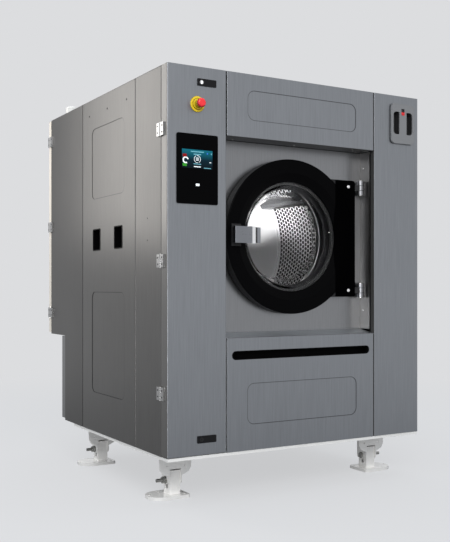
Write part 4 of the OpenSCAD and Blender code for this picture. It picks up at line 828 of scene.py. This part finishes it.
# The door's leaves are painted black, with bright bolt heads in the wing. The
# knuckles on the hinge's line are ground, with dark joints between them.
hinge_line = {"x": 1098, "y": 62}
knuckle_reach, knuckle_tone = 0.0174, (0.33, 0.335, 0.35)
door_leaf = dress(coat("door_leaf", (0.012, 0.012, 0.013), 0.35, 500,
                       line_strength=0.2), "door_hinge_leaves")
in_zone(door_leaf, knuckle_reach, knuckle_tone, **hinge_line, Metallic=1.0,
        Roughness=0.32)
in_zone(door_leaf, 0.010, 0.95, x=1008, Metallic=1.0, Roughness=0.4)
for z in (703.5, 730.5, 1209.5, 1236.5):
    in_zone(door_leaf, 0.0022, (0.05, 0.05, 0.052), z=z)
fixed_leaf = dress(variant(hinge_stainless, "fixed_leaf"),
                   "fixed_hinge_leaves")
in_zone(fixed_leaf, 0.10, (0.14, 0.14, 0.145), **hinge_line)
in_zone(fixed_leaf, knuckle_reach, knuckle_tone, **hinge_line, Roughness=0.32)
for name, body, y, heights in (
        ("front_leaf_screws", "cabinet", 76.55, (274, 846, 1413)),
        ("control_leaf_screws", "control_door", 37.45, (274, 846, 1413)),
        ("rear_leaf_screws", "cabinet", 1473.95, (587, 1077, 1566)),
        ("rear_door_leaf_screws", "rear_door", 1513.05, (587, 1077, 1566))):
    screws(name, dark_paint, 3.6, 1.1,
           [((-8, y, height + step), left)
            for height in heights for step in (-14.25, 14.25)], body)
dress(bolt_steel, "hinge_pins")

# The glass bends what is seen through it a little, and lets the lamps' light
# into the drum without bending it.
glass = bpy.data.materials.new("smoked_glass")
glass.use_nodes = True
tree = glass.node_tree
clear = tree.nodes["Principled BSDF"]
haze = add(tree, "ShaderNodeTexNoise", {"Vector": object_place(tree),
                                        "Scale": 6.0, "Detail": 3.0})
for label, value in {
        "Transmission Weight": 1.0, "IOR": 1.18,
        "Roughness": add(tree, "ShaderNodeMapRange", {
            "Value": haze, "From Min": 0.35, "From Max": 0.7, "To Min": 0.0,
            "To Max": 0.025}),
        "Base Color": add(tree, "ShaderNodeMapRange", {
            "Value": haze, "From Min": 0.3, "From Max": 0.7, "To Min": 0.90,
            "To Max": 0.94})}.items():
    join(tree, value, clear.inputs[label])
path = add(tree, "ShaderNodeLightPath").outputs
add_light = add(tree, "ShaderNodeBsdfTransparent",
                {"Color": (0.88, 0.88, 0.88, 1)})
join(tree, add(tree, "ShaderNodeMixShader", {
    0: calc(tree, "MAXIMUM", path["Is Shadow Ray"], path["Is Diffuse Ray"]),
    1: clear, 2: add_light}), tree.nodes["Material Output"].inputs["Surface"])
dress(glass, "door_glass")


# ------------------------------------------------ Door's handle
# A black base on the ring carries a lever of bent stainless strip, which is
# pulled to open the latch. A fixed plate guards the fingers.

# The guard plate's end on the base is bare steel, and the rest of the plate
# keeps the base's black, as painted shade in the gap behind the lever's end.
# The lever's folded end is painted near white, as a painted highlight.
handle_black = dress(variant(dark_paint, "handle_black"), "handle_base")
in_zone(handle_black, 0.009, (0.26, 0.27, 0.29), x=478, Metallic=1.0,
        Roughness=0.3)
handle_steel = dress(
    finish("handle_steel", (0.25, 0.26, 0.28), 0.30, lines=(8, 300, 300),
           cloud_size=20, cloud_strength=0.1), "handle_lever")
in_zone(handle_steel, 0.011, (0.95, 0.95, 0.96), x=442, Roughness=0.12)


# ------------------------------------------------ Control door
# The left column is a folded stainless door with the touch panel, the stop
# button and two quarter-turn locks.

# Its flange along the side wall is the same sheet as its front, painted
# darker, near the side's tone, as painted shade.
column_steel = dress(variant(front_steel, "column_steel"),
                     "control_door_panel")
in_zone(column_steel, 0.0015, (0.165, 0.163, 0.16), x=0)
dress(coat("screen_black", (0.0022, 0.0022, 0.0025), 0.10, 3,
           line_strength=0.05, cloud_size=8, spread=0.05,
           Specular_IOR_Level=0.02), "touch_screen")
collar_yellow = dress(coat("collar_yellow", (0.86, 0.63, 0.02), 0.35, 600,
                           line_strength=0.04, bump=0.05), "stop_collar")
stop_red = dress(coat("stop_red", (1.0, 0.035, 0.045), 0.28, 600,
                      line_strength=0.04, bump=0.05), "stop_button")
# The collar steps down in rings. Both parts are painted darker at their rims,
# and the collar at its steps, as painted shade.
stop_line = {"x": 145, "z": 1526}
for part, side, reach, colour in (
        (collar_yellow, "Outside", 0.0335, (0.38, 0.29, 0.01)),
        (collar_yellow, "Inside", 0.0250, (0.38, 0.29, 0.008)),
        (collar_yellow, "Inside", 0.0222, (0.74, 0.55, 0.016)),
        (collar_yellow, "Inside", 0.0178, (0.40, 0.31, 0.008)),
        (stop_red, "Outside", 0.0186, (0.52, 0.010, 0.018))):
    in_zone(part, reach, colour, side, **stop_line)
dress(coat("lock_black", (0.006, 0.006, 0.007), 0.38, 1200, bump=0.1,
           Specular_IOR_Level=0.2), "lock_housings")
dress(finish("lock_chrome", 0.78, 0.12, lines=40, line_strength=0.05),
      "upper_lock")
dress(finish("lock_dark", (0.05, 0.05, 0.052), 0.3, lines=40,
             line_strength=0.1), "lower_lock")


def slabs(name, outlines, front, back, material):
    """Thin plates from outlines of cabinet X and Z, between two depths."""
    shape = bmesh.new()
    for outline in outlines:
        near, far = ([shape.verts.new(at(x, y, z)) for x, z in outline]
                     for y in (front, back))
        shape.faces.new(near)
        shape.faces.new(far[::-1])
        for i in range(len(outline)):
            j = (i + 1) % len(outline)
            shape.faces.new((near[j], near[i], far[i], far[j]))
    return piece_of(name, meshed(shape, name, material))


def rounded(cx, cz, w, h, r, n=4):
    """A rectangle with round corners."""
    w, h = w / 2 - r, h / 2 - r
    return [point for x, z, start in ((w, h, 0), (-w, h, 90), (-w, -h, 180),
                                      (w, -h, 270))
            for point in arc(cx + x, cz + z, r, start, start + 90, n)]


def ring_part(cx, cz, inner_r, outer_r, start, end, n=24):
    """A part of a flat ring, angles in degrees."""
    return (arc(cx, cz, outer_r, start, end, n)
            + arc(cx, cz, inner_r, end, start, n))


def lit(name, colour, glow):
    """A finish of a printed or lit mark behind the panel's glass."""
    return coat(name, colour, 0.3, 900, line_strength=0.04, cloud_size=40,
                cloud_strength=0.05, Emission_Color=(*colour, 1),
                Emission_Strength=glow, Specular_IOR_Level=0.1)


# The lit display, about its centre: a teal picture that fades downwards, with
# a programme dial, a progress ring and a few state blocks. It holds no words.
cx, cz = 143.5, 1287
picture = lit("display_picture", (0.001, 0.005, 0.007), 1.1)
tree = picture.node_tree
height = add(tree, "ShaderNodeSeparateXYZ", {0: object_place(tree)})
fade = add(tree, "ShaderNodeMapRange",
           {"Value": height.outputs["Z"], "From Min": at(0, 0, 1252).z,
            "From Max": at(0, 0, 1331).z})
ramp = add(tree, "ShaderNodeValToRGB", {0: fade})
ramp.color_ramp.elements[0].color = (0.0003, 0.002, 0.004, 1)
ramp.color_ramp.elements[1].color = (0.004, 0.15, 0.21, 1)
ramp.color_ramp.elements.new(0.4).color = (0.001, 0.012, 0.022, 1)
join(tree, ramp, tree.nodes["Principled BSDF"].inputs["Emission Color"])
white_mark = lit("mark_white", (0.75, 0.8, 0.82), 0.55)
on_panel, on_picture, on_key = (-4.0, -3.7), (-4.15, -3.95), (-4.3, -4.1)
for name, depths, material, outlines in (
        ("display_picture", on_panel, picture,
         [rounded(cx, cz, 150, 81, 1.5)]),
        ("display_marks_pale", on_picture,
         lit("mark_pale", (0.12, 0.32, 0.38), 0.6),
         [rounded(cx, cz + 31.7, 64, 4.5, 1),
          rounded(cx, cz + 20.5, 37, 4.5, 1),
          rounded(cx, cz - 21, 37, 3.5, 1),
          rounded(cx + 50, cz - 36.5, 36, 3, 1),
          [(cx + 66, cz + 27), (cx + 72, cz + 22), (cx + 72, cz + 32)]]),
        ("display_marks_white", on_picture, white_mark,
         [rounded(cx, cz - 33, 34, 4, 1),
          ring_part(cx - 57, cz - 7, 9, 15, 20, 300),
          ring_part(cx, cz, 14.5, 16.5, -60, 100),
          ring_part(cx, cz, 14.5, 16.5, 120, 280),
          rounded(cx, cz + 5, 15, 2.5, 1), rounded(cx, cz, 15, 2.5, 1),
          rounded(cx, cz - 5, 15, 2.5, 1), rounded(145, 1176, 19, 10, 2.5)]),
        ("display_marks_red", on_picture,
         lit("mark_red", (0.22, 0.008, 0.008), 0.35),
         [rounded(cx - 62, cz + 13, 20, 14, 2)]),
        ("display_marks_green", on_picture,
         lit("mark_green", (0.03, 0.24, 0.02), 0.4),
         [rounded(cx - 62, cz - 27, 20, 13, 2)]),
        ("display_marks_blue", on_picture,
         lit("mark_blue", (0.03, 0.12, 0.45), 0.6),
         [rounded(cx + 50, cz + 27, 7, 7, 1.5)]),
        ("display_key", on_picture,
         lit("mark_dark", (0.004, 0.02, 0.03), 0.2),
         [arc(cx + 64, cz - 11, 11, 0, 345, 23)]),
        ("display_key_mark", on_key, white_mark,
         [rounded(cx + 64, cz - 11, 9, 3, 1)])):
    fitted(slabs(name, outlines, *depths, material), "control_door",
           "screen_black")


# ------------------------------------------------ Detergent drawer
# A moulded front in metallic grey with two finger pockets and a red latch,
# on a white tray that slides in a white housing.

drawer_grey = dress(
    finish("drawer_grey", (0.25, 0.255, 0.265), 0.42, metallic=0.3,
           lines=1500, line_strength=0.06, bump=0.05), "drawer_front")
# The finger pockets lie deeper than the front and are in shade.
in_zone(drawer_grey, 0.0075, (0.03, 0.03, 0.032), "Outside", y=-13)
dress(coat("drawer_white", 0.70, 0.4, 900, line_strength=0.03, bump=0.05),
      "drawer_tray", "dispenser_housing")
dress(coat("latch_red", (0.80, 0.02, 0.025), 0.32, 900, line_strength=0.05,
           bump=0.05), "drawer_latch")


# ------------------------------------------------ Rear
# A hinged rear door over the drive, a fixed strip with three brass water
# inlets and the supply cable's gland, and a lower panel round the drain.

rear_steel = dress(
    finish("rear_steel", (0.22, 0.223, 0.228), 0.42, lines=(150, 150, 6),
           line_strength=0.45, cloud_size=1.4, spread=0.12), "rear_panels")
rear_door_steel = dress(variant(rear_steel, "rear_door_steel"),
                        "rear_door_panel")
# The rear door's edge beside the left wall is painted pale and warm, as a
# painted highlight.
in_zone(rear_door_steel, 0.0012, (0.85, 0.79, 0.70), x=0, Metallic=0.3)
pressed(rear_door_steel, at(563, 0, 1080.5), (0.398, unbounded, 0.4215))
screws("service_screws", bolt_steel, 4, 1.8,
       [((x, rear_face, z), back)
        for x in (1144, 1403) for z in (496, 1080, 1664)])
dress(finish("brass", (0.62, 0.42, 0.16), 0.3, lines=(60, 400, 60)),
      "water_inlets")
dress(black_plastic, "cable_gland")


# ------------------------------------------------ Studio
# A pale floor and backdrop, four soft lamps and a narrow one that lights the
# drum, and a camera that stands at the photograph's place.

def seen_rays(tree, *kinds):
    """A mask in a tree of the rays that are of any of the kinds."""
    path = add(tree, "ShaderNodeLightPath").outputs
    mask = path[f"Is {kinds[0]} Ray"]
    for kind in kinds[1:]:
        mask = calc(tree, "MAXIMUM", mask, path[f"Is {kind} Ray"])
    return mask


pale = (0.716, 0.723, 0.738, 1)
world = bpy.data.worlds.new("studio")
bpy.context.scene.world = world
world.use_nodes = True
tree = world.node_tree
plain = add(tree, "ShaderNodeBackground", {"Color": pale, "Strength": 1.0})
lighting = add(tree, "ShaderNodeBackground",
               {"Color": (0.9, 0.95, 1.0, 1), "Strength": 0.7})
sky = add(tree, "ShaderNodeMixShader",
          {0: seen_rays(tree, "Camera", "Glossy", "Transmission"),
           1: lighting, 2: plain})
join(tree, sky, tree.nodes["World Output"].inputs["Surface"])

# The floor glows a little to the camera and in reflections, and turns into
# the backdrop's tone further out.
floor_mesh = bpy.data.meshes.new("studio_floor")
half = 40
floor_mesh.from_pydata([(-half, -half, 0), (half, -half, 0), (half, half, 0),
                        (-half, half, 0)], [], [(0, 1, 2, 3)])
floor = piece_of("studio_floor", floor_mesh)
floor_paint = bpy.data.materials.new("studio_floor")
floor_paint.use_nodes = True
tree = floor_paint.node_tree
far = add(tree, "ShaderNodeGroup", {"Reach": 3.6, "Softness": 2.4},
          node_tree=zones).outputs["Outside"]
to_eye = calc(tree, "MULTIPLY", seen_rays(tree, "Camera"),
              mix(tree, far, 0.78, 1.0, "FLOAT"))
glow = calc(tree, "MULTIPLY_ADD", seen_rays(tree, "Glossy", "Transmission"),
            mix(tree, far, 0.385, 1.0, "FLOAT"), to_eye)
for label, value in {
        "Roughness": 0.9, "Specular IOR Level": 0.0,
        "Base Color": mix(tree, far, (0.17, 0.172, 0.176, 1), (0, 0, 0, 1)),
        "Emission Color": pale, "Emission Strength": glow}.items():
    join(tree, value, tree.nodes["Principled BSDF"].inputs[label])
floor_mesh.materials.append(floor_paint)


def lamp(name, place, target, kind="AREA", **settings):
    """A lamp that points at a target."""
    data = bpy.data.lights.new(name, kind)
    for key, value in settings.items():
        setattr(data, key, value)
    made = piece_of(name, data)
    made.location = place
    made.rotation_mode = "QUATERNION"
    made.rotation_quaternion = (
        Vector(target) - Vector(place)).to_track_quat("-Z", "Y")


white, warm = (1, 1, 1), (1.0, 0.965, 0.92)
for name, place, target, wide, high, watts, colour in (
        ("side_lamp", (-1.56, 1.05, 2.0), (-0.7, -0.7, 1.7), 0.6, 1.5, 11,
         warm),
        ("front_lamp", (-3.0, -6.5, 4.6), (0, 0, 1.0), 4.0, 3.0, 260, white),
        ("top_lamp", (0.5, 0.5, 6.0), (0, 0, 1), 4.0, 4.0, 60, white),
        ("low_lamp", (-4.2, -5.2, 0.5), (0, -0.2, 0.1), 2.4, 0.3, 70, white)):
    lamp(name, place, target, shape="RECTANGLE", size=wide, size_y=high,
         energy=watts, color=colour)
lamp("drum_lamp", (-1.50, -3.87, 0.55), (0.304, 0.148, 1.43), "SPOT",
     energy=2200, spot_size=math.radians(5.6), spot_blend=0.35,
     shadow_soft_size=0.05)

eye = bpy.data.cameras.new("camera")
eye.lens = 56.82
eye.sensor_width = 36
eye.shift_y = 0.0297
camera = piece_of("camera", eye)
camera.location = (-2.3296, -4.0045, 0.953)
camera.rotation_euler = (math.radians(90), 0, math.radians(-30.33))
bpy.context.scene.camera = camera
bpy.context.scene.view_settings.view_transform = "Standard"
